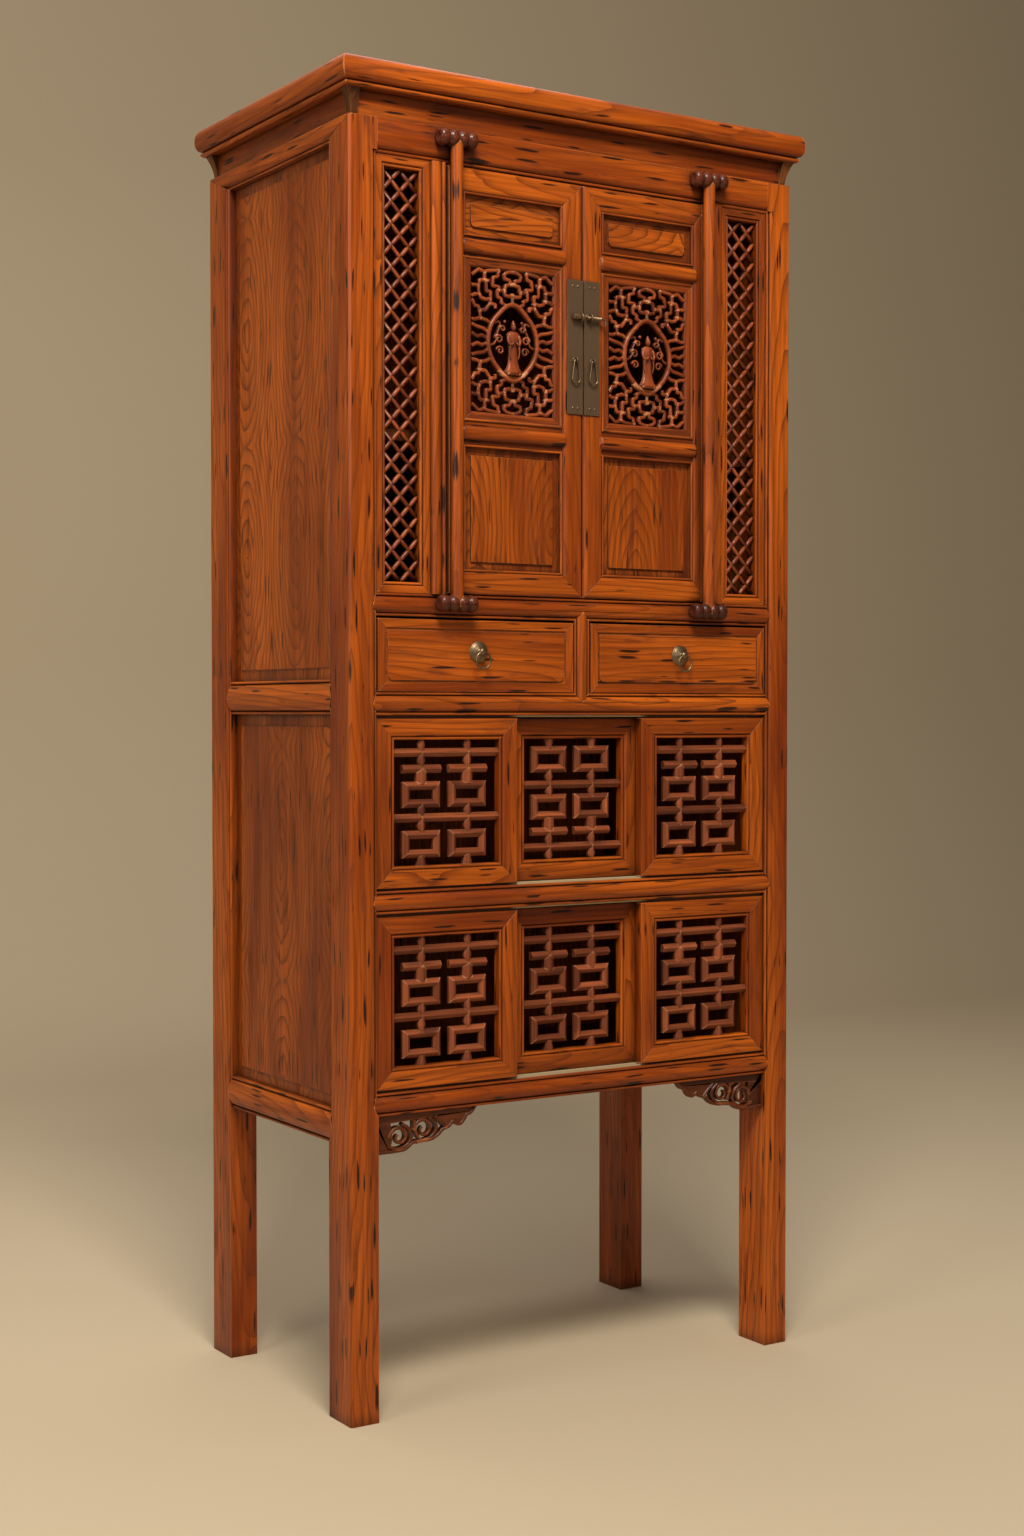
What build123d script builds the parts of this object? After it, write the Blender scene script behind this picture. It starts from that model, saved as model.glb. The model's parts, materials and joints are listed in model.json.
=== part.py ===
from build123d import *
import math
import os

# A Chinese frame-and-panel cabinet. Millimetres, +Z up, front at -Y, +X to the right.
# Pieces are drawn with x = 0 on the middle plane, y = 0 on the front of the posts and z = 0 on the floor.
# export() then moves everything back or forth so that y = 0 is the middle of the whole depth.

# ---------------------------------------------------------------- frame
FRAME_WIDTH = 772.0
FRAME_DEPTH = 450.0
POST_WIDTH = 44.0
POST_DEPTH = 64.0
POST_ARRIS = 2.5

# clear heights from the floor up, with a rail between each and the next
LEG_HEIGHT = 425.0
LOWER_SLIDER_OPENING = 248.5
UPPER_SLIDER_OPENING = 243.5
DRAWER_OPENING = 105.0
DOOR_OPENING = 601.0

RAIL_HEIGHT = 32.0
TOP_RAIL_HEIGHT = 47.0
RAIL_DEPTH = 46.0
RAIL_TONGUE = 8.0
TONGUE_DEPTH = 14.0
BEAD_HEIGHT = 4.0
BEAD_SETBACK = 4.0
ROUND_SETBACK = 8.0
TOP_RAIL_BEAD = 6.0

# ---------------------------------------------------------------- sides and back
SIDE_RAIL_DEPTH = 30.0
SIDE_TOP_RAIL_HEIGHT = 27.0
SIDE_MID_RAIL_HEIGHT = 49.0
SIDE_MID_RAIL_DROP = 31.0
SIDE_BOTTOM_RAIL_HEIGHT = 48.0
SIDE_BOTTOM_RAIL_TOP = 432.0
PANEL_THICKNESS = 10.0
PANEL_SETBACK = 12.0
PANEL_MARGIN = 17.0
PANEL_REBATE = 1.5

# ---------------------------------------------------------------- cap and frieze
FRIEZE_HEIGHT = 35.0
FRIEZE_SETBACK = 8.0
FRIEZE_THICKNESS = 14.0
CAP_HEIGHT = 38.0
CAP_OVERHANG = 17.0
CAP_WIDTH = 70.0
CAP_BELLY = 9.0
CAP_BELLY_LEVEL = 23.0
CAP_TOP_ROUND = 9.0
CAP_BEAD_HEIGHT = 4.0
CAP_BEAD_INSET = 8.0
CAP_PANEL_THICKNESS = 14.0
CAP_PANEL_DROP = 4.0
CORBEL_FOOT = 26.0
CORBEL_HEAD = 36.0
CORBEL_SETBACK = 6.0

# ---------------------------------------------------------------- boards inside
BOARD_THICKNESS = 16.0
UPPER_SHELF_HEIGHT = 232.0
BEARER_HEIGHT = 20.0
BEARER_WIDTH = 12.0
BOTTOM_BOARD_DROP = 4.0

# ---------------------------------------------------------------- grilles and door posts
GRILLE_WIDTH = 87.0
GRILLE_BORDER = 16.0
GRILLE_THICKNESS = 16.0
GRILLE_SETBACK = 6.0
GRILLE_EDGE = 2.5
LATTICE_STRIP = 5.0
LATTICE_THICKNESS = 6.0
LATTICE_SETBACK = 4.0
DIAMONDS_UP = 19
DIAMONDS_ACROSS = 2
DOOR_POST_WIDTH = 24.0
DOOR_POST_DEPTH = 36.0
DOOR_POST_FLUTES = 2
DOOR_POST_FLUTE = 3.0

# ---------------------------------------------------------------- door leaves
PIVOT_ROD_RADIUS = 9.0
PIVOT_ROD_CLEARANCE = 1.0
PIVOT_FROM_DOOR_POST = 10.0
PIN_RADIUS = 5.0
PIN_CLEARANCE = 0.1
PIN_NUB = 4.0
LEAF_THICKNESS = 20.0
LEAF_SETBACK = 2.0
LEAF_GAP_BOTTOM = 1.5
LEAF_GAP_TOP = 1.5
LEAF_GAP_HINGE = 3.0
MEETING_GAP = 1.4
MEETING_BEVEL = 2.5
PIVOT_STILE_WIDTH = 20.0
MEETING_STILE_WIDTH = 34.0
LEAF_TOP_RAIL = 33.0
LEAF_TOP_PANEL = 62.0
LEAF_MID_RAIL = 27.0
LEAF_FRET_PANEL = 232.0
LEAF_LOWER_MID_RAIL = 33.0
LEAF_BOTTOM_RAIL = 32.0
LEAF_RAIL_BEAD_DEPTH = 1.0
PILL_HEIGHT = 17.0
PILL_LAP = 6.0
PILL_PROUD = 4.5
PILL_END = 5.0
PILL_END_SIZE = 0.5
LEAF_PANEL_THICKNESS = 10.0
LEAF_PANEL_SETBACK = 7.0
LEAF_FIELD_MARGIN = 14.0
LEAF_FIELD_PROUD = 3.0
LEAF_FIELD_BEVEL = 2.4

# fret panel: a border round a pierced window
FRET_BORDER = 15.0
FRET_THICKNESS = 9.0
FRET_SETBACK = 5.0
FRET_BAR = 4.2
FRET_CELLS_HALF_WIDTH = 10
FRET_CELLS_HALF_HEIGHT = 15
MEDALLION_HALF_WIDTH = 41.5
MEDALLION_HALF_HEIGHT = 48.0
MEDALLION_TIP = 5.0
MEDALLION_RING = 6.0
MEDALLION_SIDES = 20
FIGURE_DEPTH = 8.0
FIGURE_SEAT = (15.0, 9.0)
FIGURE_HEM = 10.0
FIGURE_WAIST = (6.0, 23.0)
FIGURE_ELBOW = 12.5
FIGURE_SHOULDER = (9.0, 38.0)
FIGURE_COLLAR = (3.5, 41.0)
FIGURE_HEAD = 5.0
FIGURE_NECK_LAP = 2.0
FIGURE_KNOT = 2.5
FIGURE_BEVEL = 1.5
SLEEVE_DEPTH = 7.0
KNOT_DEPTH = 6.0

# ---------------------------------------------------------------- pivot sockets
SOCKET_LENGTH = 60.0
SOCKET_RADIUS = 12.5
SOCKET_LOBES = 4
SOCKET_WAIST = 9.0
SOCKET_SHOULDER = 4.5
UPPER_SOCKET_ABOVE_RAIL = 32.0
LOWER_SOCKET_BELOW_RAIL = 13.0

# ---------------------------------------------------------------- lock and pulls
PLATE_WIDTH = 27.0
PLATE_HEIGHT = 194.0
PLATE_THICKNESS = 1.6
PLATE_ABOVE_LEAF_FOOT = 266.0
PLATE_EDGE_GAP = 0.6
RIVET_RADIUS = 3.0
RIVET_HEAD_RADIUS = 1.5
RIVET_HEIGHT = 1.6
RIVET_BEVEL = 1.2
RIVET_FROM_END = 9.0
BOLT_RADIUS = 2.6
BOLT_ABOVE_PLATE_FOOT = 140.0
BOLT_STANDOFF = 6.0
BOLT_LENGTH = 24.0
BOLT_HANDLE_LENGTH = 11.0
BOLT_HANDLE_DROP = 9.0
BOLT_HANDLE_RADIUS = 1.8
BOLT_TIP_GAP = 1.0
STAPLE_RING = 5.2
STAPLE_WIRE = 1.3
STAPLE_FROM_EDGE = 7.0
KEEPER_RADIUS = 3.7
KEEPER_LENGTH = 19.0
KEEPER_CLEARANCE = 0.3
EYE_ABOVE_PLATE_FOOT = 78.0
EYE_FROM_PLATE_EDGE = 14.0
EYE_RING = 3.4
EYE_WIRE = 1.0
PULL_WIRE = 1.1
PULL_TOP_RADIUS = 3.2
PULL_FOOT_RADIUS = 6.6
PULL_LENGTH = 27.0

# ---------------------------------------------------------------- drawers
DIVIDER_WIDTH = 27.0
DIVIDER_TONGUE = 14.0
DRAWER_GAP_SIDE = 2.0
DRAWER_GAP_TOP = 3.0
DRAWER_GAP_FOOT = 1.0
DRAWER_FRONT_THICKNESS = 18.0
DRAWER_FRONT_SETBACK = 4.0
DRAWER_FIELD_MARGIN = 15.0
DRAWER_FIELD_GROOVE = 3.0
DRAWER_FIELD_ROUND = 7.0
DRAWER_GROOVE_DEPTH = 1.5
DRAWER_LENGTH = 370.0
DRAWER_BOX_HEIGHT = 82.0
DRAWER_SIDE_THICKNESS = 10.0
DRAWER_BOTTOM_THICKNESS = 6.0
DRAWER_BOTTOM_RAISE = 6.0
GUIDE_HEIGHT = 18.0
GUIDE_CLEARANCE = 1.0
KNOB_ABOVE_DRAWER_FOOT = 56.5
ROSETTE_RADIUS = 15.0
ROSETTE_RIM = 1.5
ROSETTE_HEIGHT = 6.0
ROSETTE_DOME_RADIUS = 11.0
ROSETTE_DOME_LEVEL = 4.8
KNOB_COLLAR_RADIUS = 4.8
KNOB_POST_RADIUS = 3.0
KNOB_POST_LENGTH = 8.0
RING_RADIUS = 12.0
RING_WIRE = 1.2
RING_EYE_WIRE = 1.1

# ---------------------------------------------------------------- sliding panels
SLIDER_COUNT = 3
SLIDER_OVERLAP = 6.0
SLIDER_SIDE_GAP = 0.5
SLIDER_FOOT_GAP = 3.0
SLIDER_TOP_GAP = 4.5
SLIDER_THICKNESS = 15.0
SLIDER_SETBACK = 7.0
SLIDER_TRACK_GAP = 2.0
SLIDER_BORDER = 30.0
SLIDER_EDGE = 3.0
TONGUE_THICKNESS = 7.0
GROOVE_CLEARANCE = 0.5
FOOT_TONGUE = 5.0
HEAD_TONGUE = 8.0
TRACK_THICKNESS = 10.0
TRACK_PROUD = 2.5
TRACK_WALL = 3.0
FRETWORK_SETBACK = 3.0
FRETWORK_DEPTH = 10.0
FRETWORK_BAR = 12.0
FRETWORK_BEVEL = 4.0

# ---------------------------------------------------------------- spandrels
SPANDREL_THICKNESS = 12.0
SPANDREL_SETBACK = 8.0
SPANDREL_LENGTH = 163.0
SPANDREL_DROP = 54.0
SPANDREL_SLOT = 8.0

# small round pieces are made with this many flat sides
SMALL_SIDES = 12
RING_SIDES = 24

# ---------------------------------------------------------------- derived places
HALF_WIDTH = FRAME_WIDTH / 2
INNER_HALF = HALF_WIDTH - POST_WIDTH
INNER_WIDTH = 2 * INNER_HALF
BOTTOM_RAIL_Z = LEG_HEIGHT
LOWER_SLIDER_Z = BOTTOM_RAIL_Z + RAIL_HEIGHT
MID_RAIL_Z = LOWER_SLIDER_Z + LOWER_SLIDER_OPENING
UPPER_SLIDER_Z = MID_RAIL_Z + RAIL_HEIGHT
DRAWER_RAIL_Z = UPPER_SLIDER_Z + UPPER_SLIDER_OPENING
DRAWER_Z = DRAWER_RAIL_Z + RAIL_HEIGHT
DOOR_RAIL_Z = DRAWER_Z + DRAWER_OPENING
DOOR_Z = DOOR_RAIL_Z + RAIL_HEIGHT
TOP_RAIL_Z = DOOR_Z + DOOR_OPENING
FRAME_HEIGHT = TOP_RAIL_Z + TOP_RAIL_HEIGHT
SIDE_MID_RAIL_Z = DRAWER_Z - SIDE_MID_RAIL_DROP
SIDE_BOTTOM_RAIL_Z = SIDE_BOTTOM_RAIL_TOP - SIDE_BOTTOM_RAIL_HEIGHT
SIDE_TOP_RAIL_Z = FRAME_HEIGHT - SIDE_TOP_RAIL_HEIGHT
SIDE_LENGTH = FRAME_DEPTH - 2 * POST_DEPTH
CAP_Z = FRAME_HEIGHT + FRIEZE_HEIGHT

DOOR_POST_X = INNER_HALF - GRILLE_WIDTH - DOOR_POST_WIDTH
PIVOT_X = DOOR_POST_X - PIVOT_FROM_DOOR_POST
PIVOT_Y = -PIVOT_ROD_RADIUS - PIVOT_ROD_CLEARANCE
LEAF_Z = DOOR_Z + LEAF_GAP_BOTTOM
LEAF_HEIGHT = DOOR_OPENING - LEAF_GAP_BOTTOM - LEAF_GAP_TOP
LEAF_BACK = LEAF_SETBACK + LEAF_THICKNESS
LEAF_OUTER_X = DOOR_POST_X - LEAF_GAP_HINGE
LEAF_MEETING_X = MEETING_GAP / 2
PIVOT_STILE_X = LEAF_OUTER_X - PIVOT_STILE_WIDTH - PIVOT_ROD_RADIUS + LEAF_GAP_HINGE
MEETING_STILE_X = LEAF_MEETING_X + MEETING_STILE_WIDTH
UPPER_SOCKET_Z = TOP_RAIL_Z + UPPER_SOCKET_ABOVE_RAIL
LOWER_SOCKET_Z = DOOR_Z - LOWER_SOCKET_BELOW_RAIL

PLATE_X = LEAF_MEETING_X + PLATE_EDGE_GAP
PLATE_FRONT = LEAF_SETBACK - PLATE_THICKNESS
PLATE_Z = LEAF_Z + PLATE_ABOVE_LEAF_FOOT
BOLT_Y = PLATE_FRONT - BOLT_STANDOFF
BOLT_Z = PLATE_Z + BOLT_ABOVE_PLATE_FOOT
BOLT_TIP_X = LEAF_MEETING_X + BOLT_TIP_GAP
EYE_X = PLATE_X + EYE_FROM_PLATE_EDGE
EYE_Y = PLATE_FRONT - EYE_RING - EYE_WIRE / 2
EYE_Z = PLATE_Z + EYE_ABOVE_PLATE_FOOT

DRAWER_INNER_X = DIVIDER_WIDTH / 2 + DRAWER_GAP_SIDE
DRAWER_OUTER_X = INNER_HALF - DRAWER_GAP_SIDE
DRAWER_MID_X = (DRAWER_INNER_X + DRAWER_OUTER_X) / 2
DRAWER_FRONT_WIDTH = DRAWER_OUTER_X - DRAWER_INNER_X
DRAWER_FRONT_Z = DRAWER_Z + DRAWER_GAP_FOOT
DRAWER_FRONT_HEIGHT = DRAWER_OPENING - DRAWER_GAP_FOOT - DRAWER_GAP_TOP
DRAWER_BACK_OF_FRONT = DRAWER_FRONT_SETBACK + DRAWER_FRONT_THICKNESS
KNOB_Z = DRAWER_FRONT_Z + KNOB_ABOVE_DRAWER_FOOT
RING_Y = DRAWER_FRONT_SETBACK - ROSETTE_HEIGHT - KNOB_POST_LENGTH

SLIDER_WIDTH = (INNER_WIDTH - 2 * SLIDER_SIDE_GAP + (SLIDER_COUNT - 1) * SLIDER_OVERLAP) / SLIDER_COUNT
BACK_TRACK_SETBACK = SLIDER_SETBACK + SLIDER_THICKNESS + SLIDER_TRACK_GAP

FRONT_REACH = SOCKET_RADIUS - PIVOT_Y
BACK_REACH = FRAME_DEPTH + CAP_OVERHANG
CENTRE_Y = (BACK_REACH - FRONT_REACH) / 2


# ---------------------------------------------------------------- helpers
def block(x0, x1, y0, y1, z0, z1):
    """A box between two corners."""
    return Pos((x0 + x1) / 2, (y0 + y1) / 2, (z0 + z1) / 2) * Box(x1 - x0, y1 - y0, z1 - z0)


def facing(y):
    """The plane at depth y that faces the front: local x is +X, local y is +Z."""
    return Plane.XZ.offset(-y)


def front_slab(sketch, y_front, thickness):
    """A front-view sketch made solid, from y_front back by thickness."""
    return extrude(facing(y_front + thickness) * sketch, thickness)


def front_edges(solid):
    """The edges round the frontmost face of a solid."""
    return solid.faces().sort_by(Axis.Y)[0].edges()


def rod_x(x0, x1, y, z, radius):
    """A small rod along x, with flat sides."""
    return extrude(Plane.YZ.offset(x0) * Pos(y, z) * RegularPolygon(radius, SMALL_SIDES), x1 - x0)


def rod_z(x, y, z0, z1, radius):
    """A small rod along z, with flat sides."""
    return extrude(Plane.XY.offset(z0) * Pos(x, y) * RegularPolygon(radius, SMALL_SIDES), z1 - z0)


def shaft_z(x, y, z0, z1, radius):
    """A truly round rod along z, for pins and their bores."""
    return Pos(x, y, z0) * Cylinder(radius, z1 - z0, align=(Align.CENTER, Align.CENTER, Align.MIN))


def bevelled_end(rod, direction, less, back):
    """Takes a small rod's radius down by less at the end facing a direction, from back along its sides."""
    end = rod.faces().sort_by(direction)[-1]
    return chamfer(end.edges(), less * math.cos(math.pi / SMALL_SIDES), back, reference=end)


def button(x, y, z, height, radius, head_radius, shoulder):
    """A flat-sided round piece that stands out from depth y, its front bevelled to a smaller head."""
    rod = extrude(facing(y) * Pos(x, z) * RegularPolygon(radius, SMALL_SIDES), height)
    return bevelled_end(rod, Axis((0, 0, 0), (0, -1, 0)), radius - head_radius, shoulder)


def mirrored(shape):
    """The same piece on the other side of the middle plane."""
    return mirror(shape, Plane.YZ)


def both_sides(shape):
    return [shape, mirrored(shape)]


def frame_of_boards(width, height, border):
    """Front-view ring of a mitred frame, from its lower left corner."""
    outer = Pos(width / 2, height / 2) * Rectangle(width, height)
    return outer - Pos(width / 2, height / 2) * Rectangle(width - 2 * border, height - 2 * border)


# ---------------------------------------------------------------- rails
def moulding(height, depth):
    """Rail section: a half-round face between two flat beads. Local x runs back, local y up."""
    low, high = BEAD_HEIGHT, height - BEAD_HEIGHT
    beaded = Polyline(
        (ROUND_SETBACK, high), (BEAD_SETBACK, high), (BEAD_SETBACK, height), (depth, height),
        (depth, 0), (BEAD_SETBACK, 0), (BEAD_SETBACK, low), (ROUND_SETBACK, low),
    )
    belly = ThreePointArc((ROUND_SETBACK, low), (0, height / 2), (ROUND_SETBACK, high))
    return make_face([beaded, belly])


def pointed_slab(length, height, tongue):
    """Front-view outline of a rail with a pointed tongue at each end, as deep as the tongues."""
    outline = Polyline(
        (0, 0), (-tongue, height / 2), (0, height),
        (length, height), (length + tongue, height / 2), (length, 0),
        close=True,
    )
    return front_slab(make_face(outline), 0, TONGUE_DEPTH)


def rail(length, height, depth, tongue=RAIL_TONGUE):
    """A moulded rail from x = 0 to its length, front at y = 0, with pointed tongues that lap the posts."""
    stock = extrude(Plane.YZ.offset(-tongue) * moulding(height, depth), length + 2 * tongue)
    return stock & (pointed_slab(length, height, tongue) + block(0, length, 0, depth, 0, height))


def flat_rail(length, height, depth):
    """A flat rail with one bead along its lower edge."""
    body = block(0, length, 0, depth, TOP_RAIL_BEAD, height)
    return body + block(0, length, BEAD_SETBACK, depth, 0, TOP_RAIL_BEAD)


def top_rail():
    return Pos(-INNER_HALF, 0, TOP_RAIL_Z) * flat_rail(INNER_WIDTH, TOP_RAIL_HEIGHT, RAIL_DEPTH)


def front_rail(z):
    return Pos(-INNER_HALF, 0, z) * rail(INNER_WIDTH, RAIL_HEIGHT, RAIL_DEPTH)


def front_rail_seats():
    """The room that the front posts give to the pointed ends of the front rails."""
    return [
        Pos(-INNER_HALF, 0, z) * pointed_slab(INNER_WIDTH, RAIL_HEIGHT, RAIL_TONGUE)
        for z in (BOTTOM_RAIL_Z, MID_RAIL_Z, DRAWER_RAIL_Z, DOOR_RAIL_Z)
    ]


def between_drawers(shape):
    """Stands a piece drawn along x upright between the drawers."""
    return Pos(DIVIDER_WIDTH / 2, 0, DRAWER_Z) * Rot(0, -90, 0) * shape


def divider():
    """The upright between the drawers, with pointed ends that lap the rails above and below."""
    return between_drawers(rail(DRAWER_OPENING, DIVIDER_WIDTH, RAIL_DEPTH, DIVIDER_TONGUE))


def divider_seat():
    """The room that the rails above and below give to the divider's pointed ends."""
    return between_drawers(pointed_slab(DRAWER_OPENING, DIVIDER_WIDTH, DIVIDER_TONGUE))


def on_side(shape):
    """Turns a piece drawn along x to lie on the right side, its front outwards, between the posts."""
    return Pos(HALF_WIDTH, POST_DEPTH, 0) * Rot(0, 0, 90) * shape


def on_back(shape):
    """Turns a piece drawn along x to lie on the back, its front outwards, between the posts."""
    return Pos(INNER_HALF, FRAME_DEPTH, 0) * Rot(0, 0, 180) * shape


def side_levels():
    """Height and foot of each rail on the sides and the back."""
    return [
        (SIDE_BOTTOM_RAIL_HEIGHT, SIDE_BOTTOM_RAIL_Z),
        (SIDE_MID_RAIL_HEIGHT, SIDE_MID_RAIL_Z),
        (SIDE_TOP_RAIL_HEIGHT, SIDE_TOP_RAIL_Z),
    ]


def mitred_slab():
    """Front-view outline of a side's top rail, whose ends run up over the posts to their corners."""
    height, reach = SIDE_TOP_RAIL_HEIGHT, POST_DEPTH - POST_ARRIS
    outline = Polyline((0, 0), (-reach, height), (SIDE_LENGTH + reach, height), (SIDE_LENGTH, 0), close=True)
    return front_slab(make_face(outline), 0, TONGUE_DEPTH)


def side_rail_seats():
    """The three rails of a side as plain slabs: the room that the posts give to their ends."""
    (low, low_z), (mid, mid_z), (_, top_z) = side_levels()
    return [
        Pos(0, 0, low_z) * pointed_slab(SIDE_LENGTH, low, RAIL_TONGUE),
        Pos(0, 0, mid_z) * pointed_slab(SIDE_LENGTH, mid, RAIL_TONGUE),
        Pos(0, 0, top_z) * mitred_slab(),
    ]


def side_rail_set():
    """Two moulded rails with pointed ends, and a flat top rail with mitred ends."""
    (low, low_z), (mid, mid_z), (top, top_z) = side_levels()
    reach = POST_DEPTH - POST_ARRIS
    flat = Pos(-reach, 0, 0) * flat_rail(SIDE_LENGTH + 2 * reach, top, SIDE_RAIL_DEPTH)
    mitred = flat & (mitred_slab() + block(0, SIDE_LENGTH, 0, SIDE_RAIL_DEPTH, 0, top))
    return [
        Pos(0, 0, low_z) * rail(SIDE_LENGTH, low, SIDE_RAIL_DEPTH),
        Pos(0, 0, mid_z) * rail(SIDE_LENGTH, mid, SIDE_RAIL_DEPTH),
        Pos(0, 0, top_z) * mitred,
    ]


def back_rail_set():
    """Three plain rails between the back posts."""
    return [block(0, INNER_WIDTH, 0, SIDE_RAIL_DEPTH, foot, foot + height) for height, foot in side_levels()]


def panel_set(length):
    """The two panels that stand between the three rails of a side or the back."""
    panels = []
    levels = side_levels()
    for (height, foot), (_, head) in zip(levels, levels[1:]):
        bottom = foot + height
        panel = block(0, length, PANEL_SETBACK, PANEL_SETBACK + PANEL_THICKNESS, bottom, head)
        margin = frame_of_boards(length, head - bottom, PANEL_MARGIN)
        panel -= Pos(0, 0, bottom) * front_slab(margin, PANEL_SETBACK, PANEL_REBATE)
        panels.append(panel)
    return panels


# ---------------------------------------------------------------- posts
def post_stock(x_sign, back):
    x = x_sign * (HALF_WIDTH - POST_WIDTH / 2)
    y = FRAME_DEPTH - POST_DEPTH / 2 if back else POST_DEPTH / 2
    stock = Pos(x, y, FRAME_HEIGHT / 2) * Box(POST_WIDTH, POST_DEPTH, FRAME_HEIGHT)
    return chamfer(stock.edges().filter_by(Axis.Z), POST_ARRIS)


# ---------------------------------------------------------------- cap and frieze
def cap_member(length):
    """One mitred member, its outer edge along x at y = 0, with a bellied edge and a bead beneath."""
    section = make_face([
        Polyline(
            (CAP_BELLY, 0), (CAP_BEAD_INSET, 0), (CAP_BEAD_INSET, -CAP_BEAD_HEIGHT),
            (CAP_WIDTH, -CAP_BEAD_HEIGHT), (CAP_WIDTH, CAP_HEIGHT), (CAP_TOP_ROUND, CAP_HEIGHT),
        ),
        ThreePointArc((CAP_TOP_ROUND, CAP_HEIGHT), (0, CAP_BELLY_LEVEL), (CAP_BELLY, 0)),
    ])
    stock = extrude(Plane.YZ * section, length)
    mitred = Polyline(
        (0, 0), (length, 0), (length - CAP_WIDTH, CAP_WIDTH), (CAP_WIDTH, CAP_WIDTH), close=True)
    return stock & Pos(0, 0, -CAP_BEAD_HEIGHT) * extrude(make_face(mitred), CAP_HEIGHT + CAP_BEAD_HEIGHT)


def cap():
    """Four mitred members with a floating panel between them."""
    width = FRAME_WIDTH + 2 * CAP_OVERHANG
    depth = FRAME_DEPTH + 2 * CAP_OVERHANG
    z = CAP_Z + CAP_BEAD_HEIGHT
    front = Pos(-width / 2, -CAP_OVERHANG, z) * cap_member(width)
    back = Pos(width / 2, FRAME_DEPTH + CAP_OVERHANG, z) * Rot(0, 0, 180) * cap_member(width)
    right = Pos(width / 2, -CAP_OVERHANG, z) * Rot(0, 0, 90) * cap_member(depth)
    panel_top = z + CAP_HEIGHT - CAP_PANEL_DROP
    panel = block(
        -width / 2 + CAP_WIDTH, width / 2 - CAP_WIDTH, -CAP_OVERHANG + CAP_WIDTH,
        FRAME_DEPTH + CAP_OVERHANG - CAP_WIDTH, panel_top - CAP_PANEL_THICKNESS, panel_top,
    )
    return [front, back, right, mirrored(right), panel]


def corbel(x_sign, back):
    """A small block at a corner of the frieze that flares up to the cap."""
    def square(size, z, reach):
        x = x_sign * (HALF_WIDTH + reach - size / 2)
        y = FRAME_DEPTH + reach - size / 2 if back else size / 2 - reach
        return Pos(x, y, z) * Rectangle(size, size)

    foot = square(CORBEL_FOOT, FRAME_HEIGHT, -CORBEL_SETBACK)
    head = square(CORBEL_HEAD, CAP_Z, CORBEL_HEAD - CORBEL_FOOT - CORBEL_SETBACK)
    return loft([foot, head])


def frieze():
    """Four boards between the frame and the cap, with a flared corbel at each corner."""
    corbels = [corbel(x_sign, back) for x_sign in (-1, 1) for back in (False, True)]
    x = HALF_WIDTH - FRIEZE_SETBACK
    front = block(-x, x, FRIEZE_SETBACK, FRIEZE_SETBACK + FRIEZE_THICKNESS, FRAME_HEIGHT, CAP_Z)
    back_y = FRAME_DEPTH - FRIEZE_SETBACK
    back = block(-x, x, back_y - FRIEZE_THICKNESS, back_y, FRAME_HEIGHT, CAP_Z)
    side = block(
        x - FRIEZE_THICKNESS, x,
        FRIEZE_SETBACK + FRIEZE_THICKNESS, back_y - FRIEZE_THICKNESS, FRAME_HEIGHT, CAP_Z)
    boards = [front, back, side, mirrored(side)]
    return [cut_by(board, corbels) for board in boards] + corbels


def cut_by(shape, tools):
    for tool in tools:
        shape = shape - tool
    return shape


# ---------------------------------------------------------------- boards inside
def board(top, obstacles):
    """A board across the whole inside, let round the posts and rails that stand in it."""
    reach = HALF_WIDTH - PANEL_SETBACK - PANEL_THICKNESS
    back = FRAME_DEPTH - PANEL_SETBACK - PANEL_THICKNESS
    whole = block(-reach, reach, RAIL_DEPTH, back, top - BOARD_THICKNESS, top)
    return cut_by(whole, obstacles).solids().sort_by(SortBy.VOLUME)[-1]


def bearers(top):
    """The pair of battens under a board, let in between the front and back posts."""
    batten = block(
        INNER_HALF - BEARER_WIDTH, INNER_HALF, RAIL_DEPTH, FRAME_DEPTH - SIDE_RAIL_DEPTH,
        top - BOARD_THICKNESS - BEARER_HEIGHT, top - BOARD_THICKNESS,
    )
    return both_sides(batten)


def drawer_guides():
    """Battens on the deck: one outside each drawer, and one between them behind the divider."""
    top = DRAWER_Z + GUIDE_HEIGHT
    back = FRAME_DEPTH - SIDE_RAIL_DEPTH
    outer = block(DRAWER_OUTER_X + GUIDE_CLEARANCE, INNER_HALF, RAIL_DEPTH, back, DRAWER_Z, top)
    middle_half = DRAWER_INNER_X - GUIDE_CLEARANCE
    middle = block(-middle_half, middle_half, RAIL_DEPTH, back, DRAWER_Z, top)
    return both_sides(outer) + [middle]


# ---------------------------------------------------------------- grilles
def lattice_strips(width, height):
    """Front-view sketch of crossing diagonal strips that fill a window, from its lower left corner."""
    cell_w = width / DIAMONDS_ACROSS
    cell_h = height / DIAMONDS_UP
    slope = math.degrees(math.atan2(cell_h, cell_w))
    length = math.hypot(width, DIAMONDS_ACROSS * cell_h) + 2 * cell_h
    strips = Sketch()
    for step in range(DIAMONDS_UP + DIAMONDS_ACROSS + 1):
        z = (step - DIAMONDS_ACROSS / 2) * cell_h
        for angle in (slope, -slope):
            strips += Pos(width / 2, z) * Rot(0, 0, angle) * Rectangle(length, LATTICE_STRIP)
    return strips & Pos(width / 2, height / 2) * Rectangle(width, height)


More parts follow.
